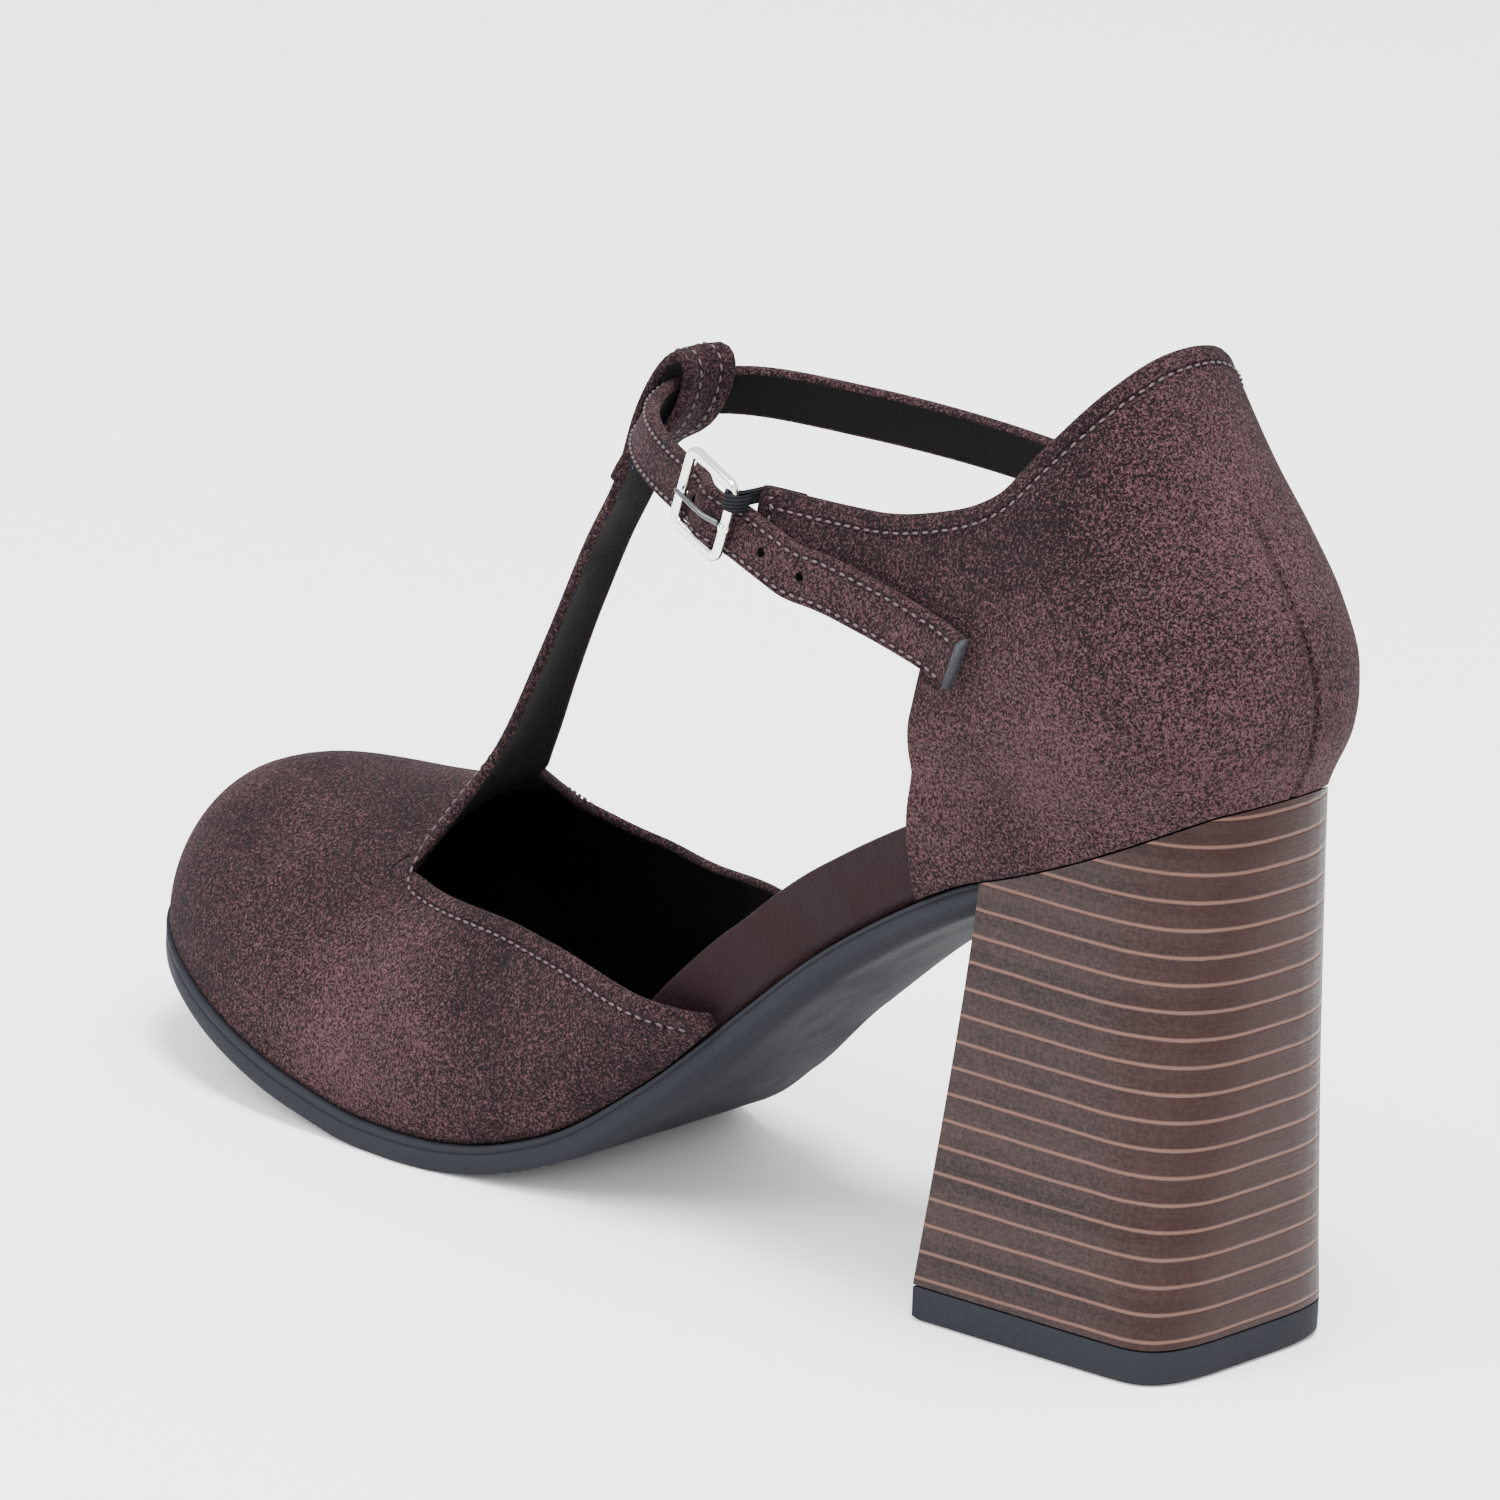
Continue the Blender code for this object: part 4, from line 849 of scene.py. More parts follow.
def vamp_surface():
    """Points and faces of the vamp's outer face, and which points stand on the sole."""
    turns = full_turns()
    points = []
    rows = []
    for share in spaced_shares(THROAT, 1.0, TOE_ROWS)[:-1]:
        rows.append(add_row(points, [vamp_point(side, share, turn) for side, turn in turns]))
    rows.append(add_row(points, [vamp_point(OUTER, 1.0, 0.0)]) * len(turns))
    foot = {row[0] for row in rows} | {row[-1] for row in rows}
    faces = grid_faces(rows)
    lift = np.linspace(0, 1, WING_COLUMNS + 1)
    for side, start in ((OUTER, rows[0][:WING_COLUMNS + 1]), (INNER, rows[0][-WING_COLUMNS - 1:])):
        wing = [start]
        for share in np.linspace(THROAT, VAMP_BACK, WING_ROWS)[1:]:
            turns_here = topline_turn(side, share) * lift[::side]
            wing.append(add_row(points, [vamp_point(side, share, turn) for turn in turns_here]))
            foot.add(wing[-1][0 if side == OUTER else -1])
        faces += grid_faces(wing[::-1])
    bar = [rows[0][WING_COLUMNS:WING_COLUMNS + BAR_COLUMNS + 1]]
    for spot, half in fine_t_bar():
        across = np.linspace(1, -1, BAR_COLUMNS + 1) * half * T_BAR_WIDTH
        bar.append(add_row(points, [spot + np.array([x, -strap_fall(x), 0]) for x in across]))
    faces += grid_faces(bar[::-1])
    return np.array(points), faces, marked(len(points), foot)


def rub_marks(points, spots):
    """How much each point is rubbed, from (place, radius) spots where the shoe touches things."""
    marks = np.zeros(len(points))
    for spot, radius in spots:
        gap = np.linalg.norm(points - np.array(spot), axis=1) / radius
        marks = np.maximum(marks, np.clip(1 - gap, 0, 1) ** 0.7)
    return marks


def hem_chain(border, points, keep):
    """Runs of border points that keep() accepts, each in order along the edge."""
    chosen = {a for a in border if keep(points[a])}
    before = {border[a][0]: a for a in chosen}
    starts = [a for a in sorted(chosen) if before.get(a) not in chosen]
    runs = []
    for start in starts:
        run = [start]
        while border[run[-1]][0] in chosen and border[run[-1]][0] != start:
            run.append(border[run[-1]][0])
        runs.append(run)
    return [run for run in runs if len(run) > LEAST_RUN]


def stitch_path(runs, border, points, tree, inset):
    """Each run moved in from the edge onto the surface: places and the way they face."""
    paths = []
    for run in runs:
        line = relax(np.array([points[a] - border[a][1] * inset for a in run]), 3)
        path = []
        for spot in line:
            place, normal, _, _ = tree.find_nearest(Vector(spot))
            path.append((np.array(place), np.array(normal)))
        paths.append(path)
    return paths


vamp_points, vamp_faces, vamp_foot = vamp_surface()
vamp_solid = turned_wall(vamp_points, vamp_faces, vamp_foot)
vamp_edge = np.array([vamp_points[a] for a in vamp_solid[3] if not vamp_foot[a]])
vamp = make_piece(
    "suede_vamp", vamp_solid[0], vamp_solid[1], [suede, lining], vamp_solid[2],
    edge=edge_distance(vamp_solid[0], vamp_edge), crease=np.zeros(len(vamp_solid[0])),
    rub=rub_marks(vamp_solid[0], VAMP_RUBS),
)
dress(vamp, "brown_suede", "vamp")

# %% [markdown]
# ## Quarter
# The quarter wraps the heel, rises to a peak behind the ankle and reaches forward as a tab on each side.
# It is pulled over the last so that it swells below the ankle, and a seam runs down the middle of its back.
# Columns stand round the heel and lean forward with the front edge. Extra columns near the middle of the back
# give the seam its groove and the two raised lips beside it.

# %% Sections of the quarter
QUARTER_TURNS = 12
QUARTER_SIDES = 6
TAB_LIFT = 30
QUARTER_LIFTS = 54
TAB_STEPS = 26
FRONT_FLARE = 0.035
FLARE_START = 0.030
BACK_POWER = 2.1
SEAM_DEPTH = 0.0005
SEAM_HALF = 0.0005
SEAM_LIP = 0.0014


def above_seat(height):
    """Height above the back of the seat, as a share of the back's height."""
    return (height - SEAT_HEIGHT) / BACK_HEIGHT


def quarter_across(along, height):
    """Half width of the quarter's outer face at a place along and a height."""
    level = above_seat(height)
    flare = FRONT_FLARE * np.maximum(along - FLARE_START, 0)
    return quarter_half(level) * end_round(1 - (along - back_edge(level)) / quarter_round(level), BACK_POWER) + flare


def column_place(column_share):
    """A column's turn round the back, its share of the straight side, and where it stands on the seat."""
    split = QUARTER_TURNS / (QUARTER_TURNS + QUARTER_SIDES)
    turn = min(column_share / split, 1) * math.pi / 2
    run = max((column_share - split) / (1 - split), 0)
    seat_along = seat_round(turn)
    return turn, run, seat_along + (QUARTER_FRONT * SOLE_LENGTH - seat_along) * run


def quarter_point(side, column_share, height):
    """A point of the quarter's outer face, on a column counted from the back, at a height."""
    level = above_seat(height)
    turn, run, seat_along = column_place(column_share)
    round_along = back_edge(level) + quarter_round(level) * (1 - math.cos(turn) ** (2 / BACK_POWER))
    along = round_along + (front_edge(level) * SOLE_LENGTH - round_along) * run
    across = side * quarter_across(along, height)
    seat_across = feather_point(side, seat_along / SOLE_LENGTH)[0]
    tuck = np.clip(1 - (height - feather_height(seat_along)) / TUCK_HEIGHT, 0, 1) ** 2
    return np.array([across + (seat_across - across) * tuck, along + (seat_along - along) * tuck, height])


def collar_of(side, column_share):
    """Height at which a column of the quarter meets the topline, found by halving."""
    low = SEAT_HEIGHT
    high = SEAT_HEIGHT + 1.05 * BACK_HEIGHT
    for _ in range(30):
        middle = (low + high) / 2
        share = quarter_point(side, column_share, middle)[1] / SOLE_LENGTH
        if middle < SEAT_HEIGHT + BACK_HEIGHT * min(collar_height(share), 1.0):
            low = middle
        else:
            high = middle
    return (low + high) / 2


def seam_push(across, level):
    """How far the back seam pulls a point in, and its lips push it out, below the peak."""
    groove = SEAM_DEPTH * math.exp(-((across / SEAM_HALF) ** 2))
    lips = 0.35 * SEAM_DEPTH * math.exp(-(((abs(across) - SEAM_LIP) / SEAM_HALF) ** 2))
    return (groove - lips) * min(max(1.7 - 1.9 * level, 0), 1)


# %% Build the quarter
def quarter_surface():
    """Points and faces of the quarter's outer face, and which points stand on the sole."""
    near_seam = np.array([0, 0.004, 0.009, 0.014, 0.020, 0.027, 0.035])
    shares = np.concatenate([near_seam, np.linspace(0.05, 1, 54)])
    columns = [(OUTER, share) for share in shares[::-1]] + [(INNER, share) for share in shares[1:]]
    tab_low = SEAT_HEIGHT + OUTER_TAB_ROWS[0][1] * BACK_HEIGHT
    points = []
    lines = []
    for side, share in columns:
        foot = feather_height(column_place(share)[2]) + CLEARANCE
        top = collar_of(side, share)
        bend = foot + (tab_low - foot) * (0.35 + 0.65 * share)
        lower = np.linspace(foot, bend, TAB_LIFT + 1)
        upper = np.linspace(bend, top, QUARTER_LIFTS - TAB_LIFT + 1)[1:]
        spots = []
        for height in np.concatenate([lower, upper]):
            spots.append(quarter_point(side, share, height))
            if share < 0.05:
                spots[-1][1] += seam_push(spots[-1][0], (height - foot) / (top - foot))
        lines.append(add_row(points, spots))
    faces = grid_faces(lines)
    up_tab = np.linspace(0, 1, QUARTER_LIFTS - TAB_LIFT + 1)
    for side, start, rows in ((OUTER, lines[0], OUTER_TAB_ROWS), (INNER, lines[-1], INNER_TAB_ROWS)):
        low_edge = column(rows, 1)
        tab = [start[TAB_LIFT:]]
        for share in np.linspace(rows[0][0], rows[-1][0], TAB_STEPS)[2:]:
            along = share * SOLE_LENGTH
            heights = SEAT_HEIGHT + BACK_HEIGHT * (low_edge(share) * (1 - up_tab) + collar_height(share) * up_tab)
            spots = [np.array([side * quarter_across(along, height), along, height]) for height in heights]
            tab.append(add_row(points, spots))
        faces += grid_faces(tab[::-side])
    return np.array(points), faces, marked(len(points), {line[0] for line in lines})


quarter_points, quarter_faces, quarter_foot = quarter_surface()
quarter_solid = turned_wall(quarter_points, quarter_faces, quarter_foot)
STITCHED_FROM = SEAT_HEIGHT + 0.47 * BACK_HEIGHT


def on_topline(spot):
    """Whether a border point of the quarter is on its stitched top edge or a tab's edge."""
    return spot[2] > STITCHED_FROM


QUARTER_RUBS = (
    ((0.010, -0.006, 0.100), 0.040), ((0.0, 0.004, 0.132), 0.032), ((0.024, 0.020, 0.096), 0.030),
    ((0.026, 0.046, 0.086), 0.022), ((-0.010, -0.006, 0.100), 0.040),
)
SEAM_LINE_PLACE = 0.0002
SEAM_LINE_HALF = 0.0007
SEAM_END_ALONG = 0.012
SEAM_END_UP = 0.135
across, along, up = quarter_solid[0].T
# The back seam's groove gets painted shade through the crease mask, over the groove cut in the mesh.
seam_groove_shade = np.clip(1 - np.abs(np.abs(across) - SEAM_LINE_PLACE) / SEAM_LINE_HALF, 0, 1)
quarter_edge = np.array([quarter_points[a] for a in quarter_solid[3] if on_topline(quarter_points[a])])
quarter = make_piece(
    "suede_quarter", quarter_solid[0], quarter_solid[1], [suede, lining], quarter_solid[2],
    edge=edge_distance(quarter_solid[0], quarter_edge), rub=rub_marks(quarter_solid[0], QUARTER_RUBS),
    crease=seam_groove_shade * (along < SEAM_END_ALONG) * (up < SEAM_END_UP),
)
dress(quarter, "brown_suede", "quarter")

# %% [markdown]
# ## Ankle strap
# The strap is two layers of suede sewn back to back. It starts inside the inner tab, goes through the T-bar's loop,
# under the buckle's front bar, bulges through the frame, and its tail lies on the quarter.
# The band is lofted along its route, and its punched holes are real ones, cut with a Boolean, as a punch would.

# %% Route of the strap
TAIL_GAP = 2 * CLEARANCE + STRAP_THICKNESS / 2
INNER_GAP = WALL + 3 * CLEARANCE + STRAP_THICKNESS / 2
BUCKLE_ALONG = 0.3921 * SOLE_LENGTH
BUCKLE_RISE = 0.0018
BUCKLE_TILT = math.radians(19)
INNER_START = 0.240
INNER_FALL = 0.04


def strap_route():
    """Middle of the ankle strap: from inside the inner tab, round the front, to the tail."""
    turn_height = column(STRAP_TURN_ROWS, 1)
    tail_height = column(STRAP_TAIL_ROWS, 1)
    pivot = TURN_BACK * SOLE_LENGTH
    route = []
    inner_height = turn_height(-1.0) * STRAP_HEIGHT
    inner_half = quarter_across(pivot, inner_height) - INNER_GAP
    outer_height = turn_height(1.0) * STRAP_HEIGHT
    outer_half = quarter_across(pivot, outer_height) + TAIL_GAP
    for share in np.linspace(INNER_START, TURN_BACK, 5)[:-1]:
        along = share * SOLE_LENGTH
        across = quarter_across(along, inner_height) - INNER_GAP
        route.append((-across, along, inner_height - INNER_FALL * (pivot - along)))
    for t in np.linspace(-1, 1, 45):
        angle = t * math.pi / 2
        half = outer_half if t > 0 else inner_half
        across = half * math.copysign(abs(math.sin(angle)) ** (2 / TURN_POWER), angle)
        along = pivot + (STRAP_REACH - pivot) * math.cos(angle) ** (2 / TURN_POWER)
        route.append((across, along, turn_height(t) * STRAP_HEIGHT))
    for share in np.linspace(TURN_BACK, STRAP_TAIL_ROWS[0][0], 9)[1:]:
        along = share * SOLE_LENGTH
        height = tail_height(share) * STRAP_HEIGHT
        route.append((quarter_across(along, height) + TAIL_GAP, along, height))
    return np.array(route)


def route_frames(route):
    """Upward and outward unit vectors at each point of the strap's middle."""
    run = unit(np.gradient(route, axis=0))
    front = np.clip((route[:, 1] - 0.6 * STRAP_REACH) / (0.4 * STRAP_REACH), 0, 1) ** 2
    lean = T_BAR_LEAN * front
    half = STRAP_WIDTH / 2
    narrow = quarter_across(route[:, 1], route[:, 2] + half) - quarter_across(route[:, 1], route[:, 2] - half)
    side_lean = np.sign(route[:, 0]) * narrow / STRAP_WIDTH * (1 - front)
    up = np.stack([side_lean, -np.sin(lean), np.cos(lean)], axis=-1)
    up -= run * np.sum(up * run, axis=1)[:, None]
    up = unit(up)
    out = np.cross(run, up)
    middle = np.array([0, 0.5 * STRAP_REACH, 0])
    wrong = np.sum(out * (route - middle), axis=1) < 0
    out[wrong] *= -1
    return up, out


def buckle_frame_axes():
    """Centre of the buckle and its directions: forward along the strap, up, out."""
    route = strap_route()
    half_way = len(route) // 2
    outer = route[half_way:]
    index = half_way + int(np.argmin(np.abs(outer[:, 1] - BUCKLE_ALONG)))
    away = route_frames(route)[1][index]
    away[2] = 0
    away = unit(away)
    flat = np.array([-away[1], away[0], 0])
    if flat[1] < 0:
        flat = -flat
    forward = flat * math.cos(BUCKLE_TILT) + np.array([0, 0, math.sin(BUCKLE_TILT)])
    rise = np.array([0, 0, math.cos(BUCKLE_TILT)]) - flat * math.sin(BUCKLE_TILT)
    stand = STRAP_THICKNESS / 2 + 2.6 * CLEARANCE + BUCKLE_THICKNESS / 2
    centre = route[index] + rise * BUCKLE_RISE + away * stand
    return centre, forward, rise, away


def refine_route(count):
    """The strap's route and its directions at evenly spaced places."""
    route = even_line(strap_route(), count, passes=4)[0]
    return route, *route_frames(route)


# %% Build the strap
STRAP_STEPS = 240
STRAP_BULGE = 0.0018
STRAP_DROP = 0.0002
TAIL_CURL = 0.007
TAIL_LIFT = 0.0009
TAIL_SWELL = 0.45
STRAP_RUB = 0.3
HOLE_RADIUS = 0.00075
HOLE_SIDES = 20
HOLE_PLACES = (0.0945, 0.0864, 0.0783, 0.0702)
CREASE_PLACE = 0.0690
CREASE_HALF = 0.0006
STRAP_HEM = 0.0013
SECTION_COLUMNS = 12
SECTION_TURNS = (0.5, 1.0, 1.57, 2.14, 2.64)
FACE_FULLNESS = 0.00012
strap_line, strap_up, strap_out = refine_route(STRAP_STEPS)
buckle_centre, buckle_forward, buckle_up, buckle_away = buckle_frame_axes()
outer_side = strap_line[:, 0] > 0
gap = np.abs(strap_line[:, 1] - buckle_centre[1] + 0.0005) / (0.5 * BUCKLE_LENGTH - 0.6 * BUCKLE_BAR)
in_buckle = (outer_side * np.clip(1 - gap ** 2, 0, 1) ** 1.5)[:, None]
outer_run = np.cumsum(np.linalg.norm(np.diff(strap_line, axis=0, prepend=strap_line[:1]), axis=1))
to_tail = np.where(outer_side, outer_run[-1] - outer_run, TAIL_CURL)
tail_curl = (np.clip(1 - to_tail / TAIL_CURL, 0, 1) ** 2)[:, None]
strap_line = strap_line + strap_out * STRAP_BULGE * in_buckle - strap_up * STRAP_DROP * in_buckle
strap_line = strap_line + strap_out * TAIL_LIFT * tail_curl


def strap_section():
    """The strap's section as (up, out): flat faces, a little full in the middle, with rounded edges."""
    half = STRAP_WIDTH / 2
    t = STRAP_THICKNESS / 2
    corner = 0.35 * STRAP_THICKNESS
    flat = np.linspace(half - corner, -half + corner, SECTION_COLUMNS)
    face = [(u, t + FACE_FULLNESS * (1 - (u / half) ** 2)) for u in flat]
    low_turn = [(-half + corner - corner * math.sin(a), t * math.cos(a)) for a in SECTION_TURNS]
    back = [(u, -t) for u in -flat]
    high_turn = [(-u, -o) for u, o in low_turn]
    return face + low_turn + back + high_turn


section = strap_section()
strap_swell = 1 + TAIL_SWELL * tail_curl
strap_points, strap_faces = loft(sweep(strap_line, strap_up, strap_out * strap_swell, section))
strap_edge = STRAP_WIDTH / 2 - np.abs([up for up, out in section] * STRAP_STEPS) + HEM - STRAP_HEM
along_strap = np.repeat(strap_line[:, 1], len(section))
is_outer = np.repeat(outer_side, len(section))
# The strap's crease gets painted shade through this mask.
strap_crease = np.clip(1 - np.abs(along_strap - CREASE_PLACE) / CREASE_HALF, 0, 1) * is_outer
back_column = SECTION_COLUMNS + len(SECTION_TURNS)
strap_side = []
for face in strap_faces:
    columns = [index % len(section) for index in face]
    on_back = all(back_column <= c < back_column + SECTION_COLUMNS for c in columns)
    strap_side.append(2 if len(face) > 4 else (1 if on_back else 0))
strap = make_piece(
    "suede_strap", strap_points, strap_faces, [suede, lining, cut_leather], strap_side,
    edge=strap_edge, rub=np.full(len(strap_points), STRAP_RUB), crease=strap_crease,
)


def turn_to(direction, up):
    """A rotation matrix whose Z points along a direction and whose X points up."""
    z = Vector(direction).normalized()
    x = Vector(up) - z * Vector(up).dot(z)
    x.normalize()
    return Matrix((x, z.cross(x), z)).transposed().to_4x4()


punch_mesh = bpy.data.meshes.new("punch")
punch_work = bmesh.new()
for place in HOLE_PLACES:
    index = int(np.argmin(np.abs(strap_line[:, 1] - place) + 10.0 * ~outer_side))
    centre = Vector(to_world([strap_line[index]])[0])
    axis = Vector(strap_out[index])
    axis.y = -axis.y
    bmesh.ops.create_cone(
        punch_work, cap_ends=True, segments=HOLE_SIDES, radius1=HOLE_RADIUS, radius2=HOLE_RADIUS,
        depth=3 * STRAP_THICKNESS, matrix=Matrix.Translation(centre) @ turn_to(axis, (0, 0, 1)),
    )
punch_work.to_mesh(punch_mesh)
punch_work.free()
punch_mesh.materials.append(lining)
punch = add_object("punch", punch_mesh)
cut = strap.modifiers.new("holes", "BOOLEAN")
cut.object = punch
cut.operation = "DIFFERENCE"
cut.solver = "EXACT"
cut.material_mode = "TRANSFER"


def bake(piece):
    """Turns a piece's modifiers into a plain mesh and removes them."""
    graph = bpy.context.evaluated_depsgraph_get()
    mesh = bpy.data.meshes.new_from_object(piece.evaluated_get(graph))
    piece.modifiers.clear()
    piece.data = mesh
    print(piece.name, "baked:", len(mesh.vertices), "points")


bake(strap)
bpy.data.objects.remove(punch)
dress(strap, "brown_suede", "ankle_strap")

# %% [markdown]
# ## Insole
# The insole board is padded towards the heel and wrapped in smooth leather, and its thick rim shows in the open waist.
# It is lofted along the shoe. The rim bulges a little, and the footbed on top is a second material.

# %% Build the insole
RIM_SWELL = 0.0004
RIM_CORNER = 0.0012
LEAST_HALF = 0.0012
TOP_FIRST = 11
INSET = WALL + 2 * CLEARANCE
INSOLE_BACK = (INSET - SEAT_BACK) / SOLE_LENGTH
INSOLE_FRONT = 1 - INSET / SOLE_LENGTH
# Along the shoe: how full the padded rim is, and how deep the footbed is dished
rim_fullness = smooth_curve([0, 0.10, 0.22, 0.46, 0.56, 1], [0.75, 0.85, 1, 1, 0, 0])
dish_depth = smooth_curve([0, 0.12, 0.45, 0.60, 1], [0.9, 1, 1, 0.35, 0.2])


def insole_ring(share):
    """A section of the insole: flat below, a swollen rim with a round upper edge, and a dished top."""
    rim = rim_fullness(share)
    along = share * SOLE_LENGTH
    stretch = (1 + BEHIND) * (share - INSOLE_BACK) / (INSOLE_FRONT - INSOLE_BACK) - BEHIND
    half = max(feather_half(stretch) * (1 - INSET / feather_half(0.3)), LEAST_HALF)
    half = min(half, max(feather_half(share) - INSET, LEAST_HALF))
    thick = FOOTBED_THICKNESS + (RIM_THICKNESS - FOOTBED_THICKNESS) * rim
    low = feather_height(along) + CLEARANCE
    high = low + thick * feather_slope(along)
    lean = 0.10 * thick * rim
    sag = FOOTBED_DISH * dish_depth(share) * end_round(1 - half / plan_half(share))
    corner = min(RIM_CORNER, 0.3 * half)
    side = []
    for t in np.linspace(0, 1, 7):
        out = half + lean * t + RIM_SWELL * math.sin(math.pi * t) * rim
        side.append((out, low + (high - corner - low) * t))
    for angle in np.linspace(0.4, math.pi / 2, 4):
        side.append((half + lean - corner * (1 - math.cos(angle)), high - corner * (1 - math.sin(angle))))
    top_half = half + lean - corner
    top = [(top_half * t, high - sag * (1 - t * t)) for t in np.linspace(1, -1, 21)[1:-1]]
    return mirrored_ring(plan_middle(share), along, low, side, top)


def insole_stations():
    """Shares along the insole, close together at its round ends."""
    turn = np.linspace(0.05, math.pi / 2, 26)
    seat = INSET / SOLE_LENGTH + seat_round(turn) / SOLE_LENGTH
    waist = np.linspace(seat[-1], THROAT, 70)[1:]
    return np.concatenate([seat, waist, spaced_shares(THROAT, INSOLE_FRONT, 36)[1:]])


insole_rings = [insole_ring(share) for share in insole_stations()]
insole_points, insole_faces = loft(insole_rings)
ring_size = len(insole_rings[0])
on_top = [int(all(TOP_FIRST <= i % ring_size <= ring_size - TOP_FIRST for i in face)) for face in insole_faces]
insole = make_piece("covered_insole", insole_points, insole_faces, [rim_cover, footbed_leather], on_top)
dress(insole, "covered_rim", "insole")

# %% [markdown]
# ## Outsole
# A moulded rubber sole runs from the heel's front face to the toe. In the photo its edge shows a fine lighter line
# near the top and a soft bevel below. The groove under that line is cut in the mesh, so it shades by itself.

# %% Build the outsole
GROOVE_DEPTH = 0.00028
EDGE_SOFTNESS = 0.0005
BEVEL_SHARE = 0.16
WAIST_STATIONS = 90
TOE_STATIONS = 60
SOLE_ROUND_START = 0.76
# Along the shoe: how full the sole's edge is, how far it stands out, and where the edge is as deep as the sole
edge_fullness = smooth_curve([BREAST_SHARE, 0.42, 0.56, 1.0], [0, 0, 1, 1])
ledge_shape = smooth_curve([0.0, 0.24, 0.40, 0.46, 0.56, 1.0], [-0.2, -1.0, -1.0, 0.2, 1.0, 1.0])
forepart_share = smooth_curve([BREAST_SHARE, 0.50, 0.60, 1.0], [0, 0, 1, 1])


def breast_along(height):
    """Where the heel's front face stands at a height: it slopes forward to the floor."""
    top = BREAST_SHARE * SOLE_LENGTH
    fall = (feather_height(top) - height) / feather_height(top)
    return top + (HEEL_BASE_DEPTH - HEEL_BASE_BACK - top) * fall


def sole_ring(share):
    """A section of the outsole with a grooved edge and a bevelled underside."""
    along = share * SOLE_LENGTH
    body = toe_round(share)
    out = feather_half(share) + OUTSOLE_LEDGE * ledge_shape(share) * body
    top = feather_height(along)
    thin = OUTSOLE_WAIST_THICKNESS
    edge = (thin + (OUTSOLE_THICKNESS - thin) * edge_fullness(share)) * feather_slope(along)
    core = (OUTSOLE_THICKNESS + CLEARANCE) * feather_slope(along)
    deep = core + (edge - core) * forepart_share(share)
    soft = EDGE_SOFTNESS * body
    bevel = BEVEL_SHARE * out
    groove = GROOVE_DEPTH * body
    side = [
        (out - 0.0006, 0), (out - 0.0002, 0.02), (out, 0.08), (out, 0.20), (out - groove, 0.24), (out - groove, 0.28),
        (out, 0.32), (out, 0.55), (out, 0.80), (out - 0.3 * soft, 0.93), (out - soft, 1.0),
    ]
    right = [(across, top - edge * drop) for across, drop in side]
    right += [(out - 0.5 * bevel, top - edge - 0.62 * (deep - edge)), (out - bevel, top - deep)]
    flat = [((out - bevel) * t, top - deep) for t in np.linspace(1, -1, 9)[1:-1]]
    return mirrored_ring(plan_middle(share), along, top, right, flat)


def sole_rings():
    """The outsole's sections, with the first on the heel's front face and a round nose at the toe."""
    waist = np.linspace(BREAST_SHARE, SOLE_ROUND_START, WAIST_STATIONS)
    stations = np.concatenate([waist, spaced_shares(SOLE_ROUND_START, 0.9985, TOE_STATIONS)[1:]])
    ahead = SOLE_LENGTH * (1 - stations[-1])
    rings = []
    for share in stations:
        ring = sole_ring(share)
        ring[:, 1] += ahead * max(share - 0.97, 0) / (stations[-1] - 0.97)
        rings.append(ring)
    tip = rings[-1]
    middle = tip[:, 0].mean()
    for reach, width in ((0.40, 0.95), (0.75, 0.81), (0.93, 0.65), (1.0, 0.45)):
        nose = tip.copy()
        nose[:, 0] = middle + (nose[:, 0] - middle) * width
        nose[:, 1] += OUTSOLE_LEDGE * reach
        rings.append(nose)
    rings[0][:, 1] = breast_along(rings[0][:, 2]) + 2 * CLEARANCE
    return rings


outsole = make_piece("rubber_outsole", *loft(sole_rings()), [rubber])
dress(outsole, "black_rubber", "outsole")

# %% [markdown]
# ## Heel, top piece and metal
# These hard pieces keep their CAD shape. Each gets a merged copy of its solid whose sharp edges are rounded,
# because a real edge always catches a line of light. The heel also carries how near each point is to its back,
# where painted shade makes the print darker and reddish.


# %% Rounded copies of hard pieces
SHARP = math.radians(35)


def rounded_copy(node, name, material, radius):
    """A copy of a CAD solid with its points merged, its triangles joined and its sharp edges rounded."""
    work = bmesh.new()
    work.from_mesh(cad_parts[node].data)
    bmesh.ops.remove_doubles(work, verts=work.verts, dist=1e-6)
    bmesh.ops.join_triangles(
        work, faces=work.faces, angle_face_threshold=0.03, angle_shape_threshold=math.pi, cmp_seam=False,
        cmp_sharp=False, cmp_uvs=False, cmp_vcols=False, cmp_materials=False,
    )
    hard = [e for e in work.edges if len(e.link_faces) == 2 and e.calc_face_angle(0) > SHARP]
    bmesh.ops.bevel(
        work, geom=hard, offset=radius, offset_type="OFFSET", segments=3, profile=0.5, affect="EDGES",
        clamp_overlap=True,
    )
    mesh = bpy.data.meshes.new(name)
    work.to_mesh(mesh)
    work.free()
    mesh.materials.clear()
    mesh.materials.append(material)
    mesh.shade_smooth()
    mesh.set_sharp_from_angle(angle=SHARP)
    piece = add_object(name, mesh)
    print(name, len(mesh.vertices), "points,", len(hard), "edges rounded")
    return piece


heel = rounded_copy("heel", "stacked_block", stacked, 0.0005)
# Nearness to the heel's back: the mask for its painted shade.
BACK_SHADE_REACH = 0.020
from_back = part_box("heel")[1].y - np.array([v.co.y for v in heel.data.vertices])
set_attribute(heel.data, "back", np.clip(1 - from_back / BACK_SHADE_REACH, 0, 1))
dress(heel, "stacked_heel", "heel")
top_piece = rounded_copy("top_piece", "rubber_top_piece", rubber, 0.0004)
dress(top_piece, "black_rubber", "top_piece")

# %% Buckle frame
FRAME_SECTION = 16
FRAME_CORNER_STEPS = 8
BAR_SQUARENESS = 0.6


def squared(value):
    """A cosine or sine pushed outwards, which makes a round section squarer."""
    return math.copysign(abs(value) ** BAR_SQUARENESS, value)


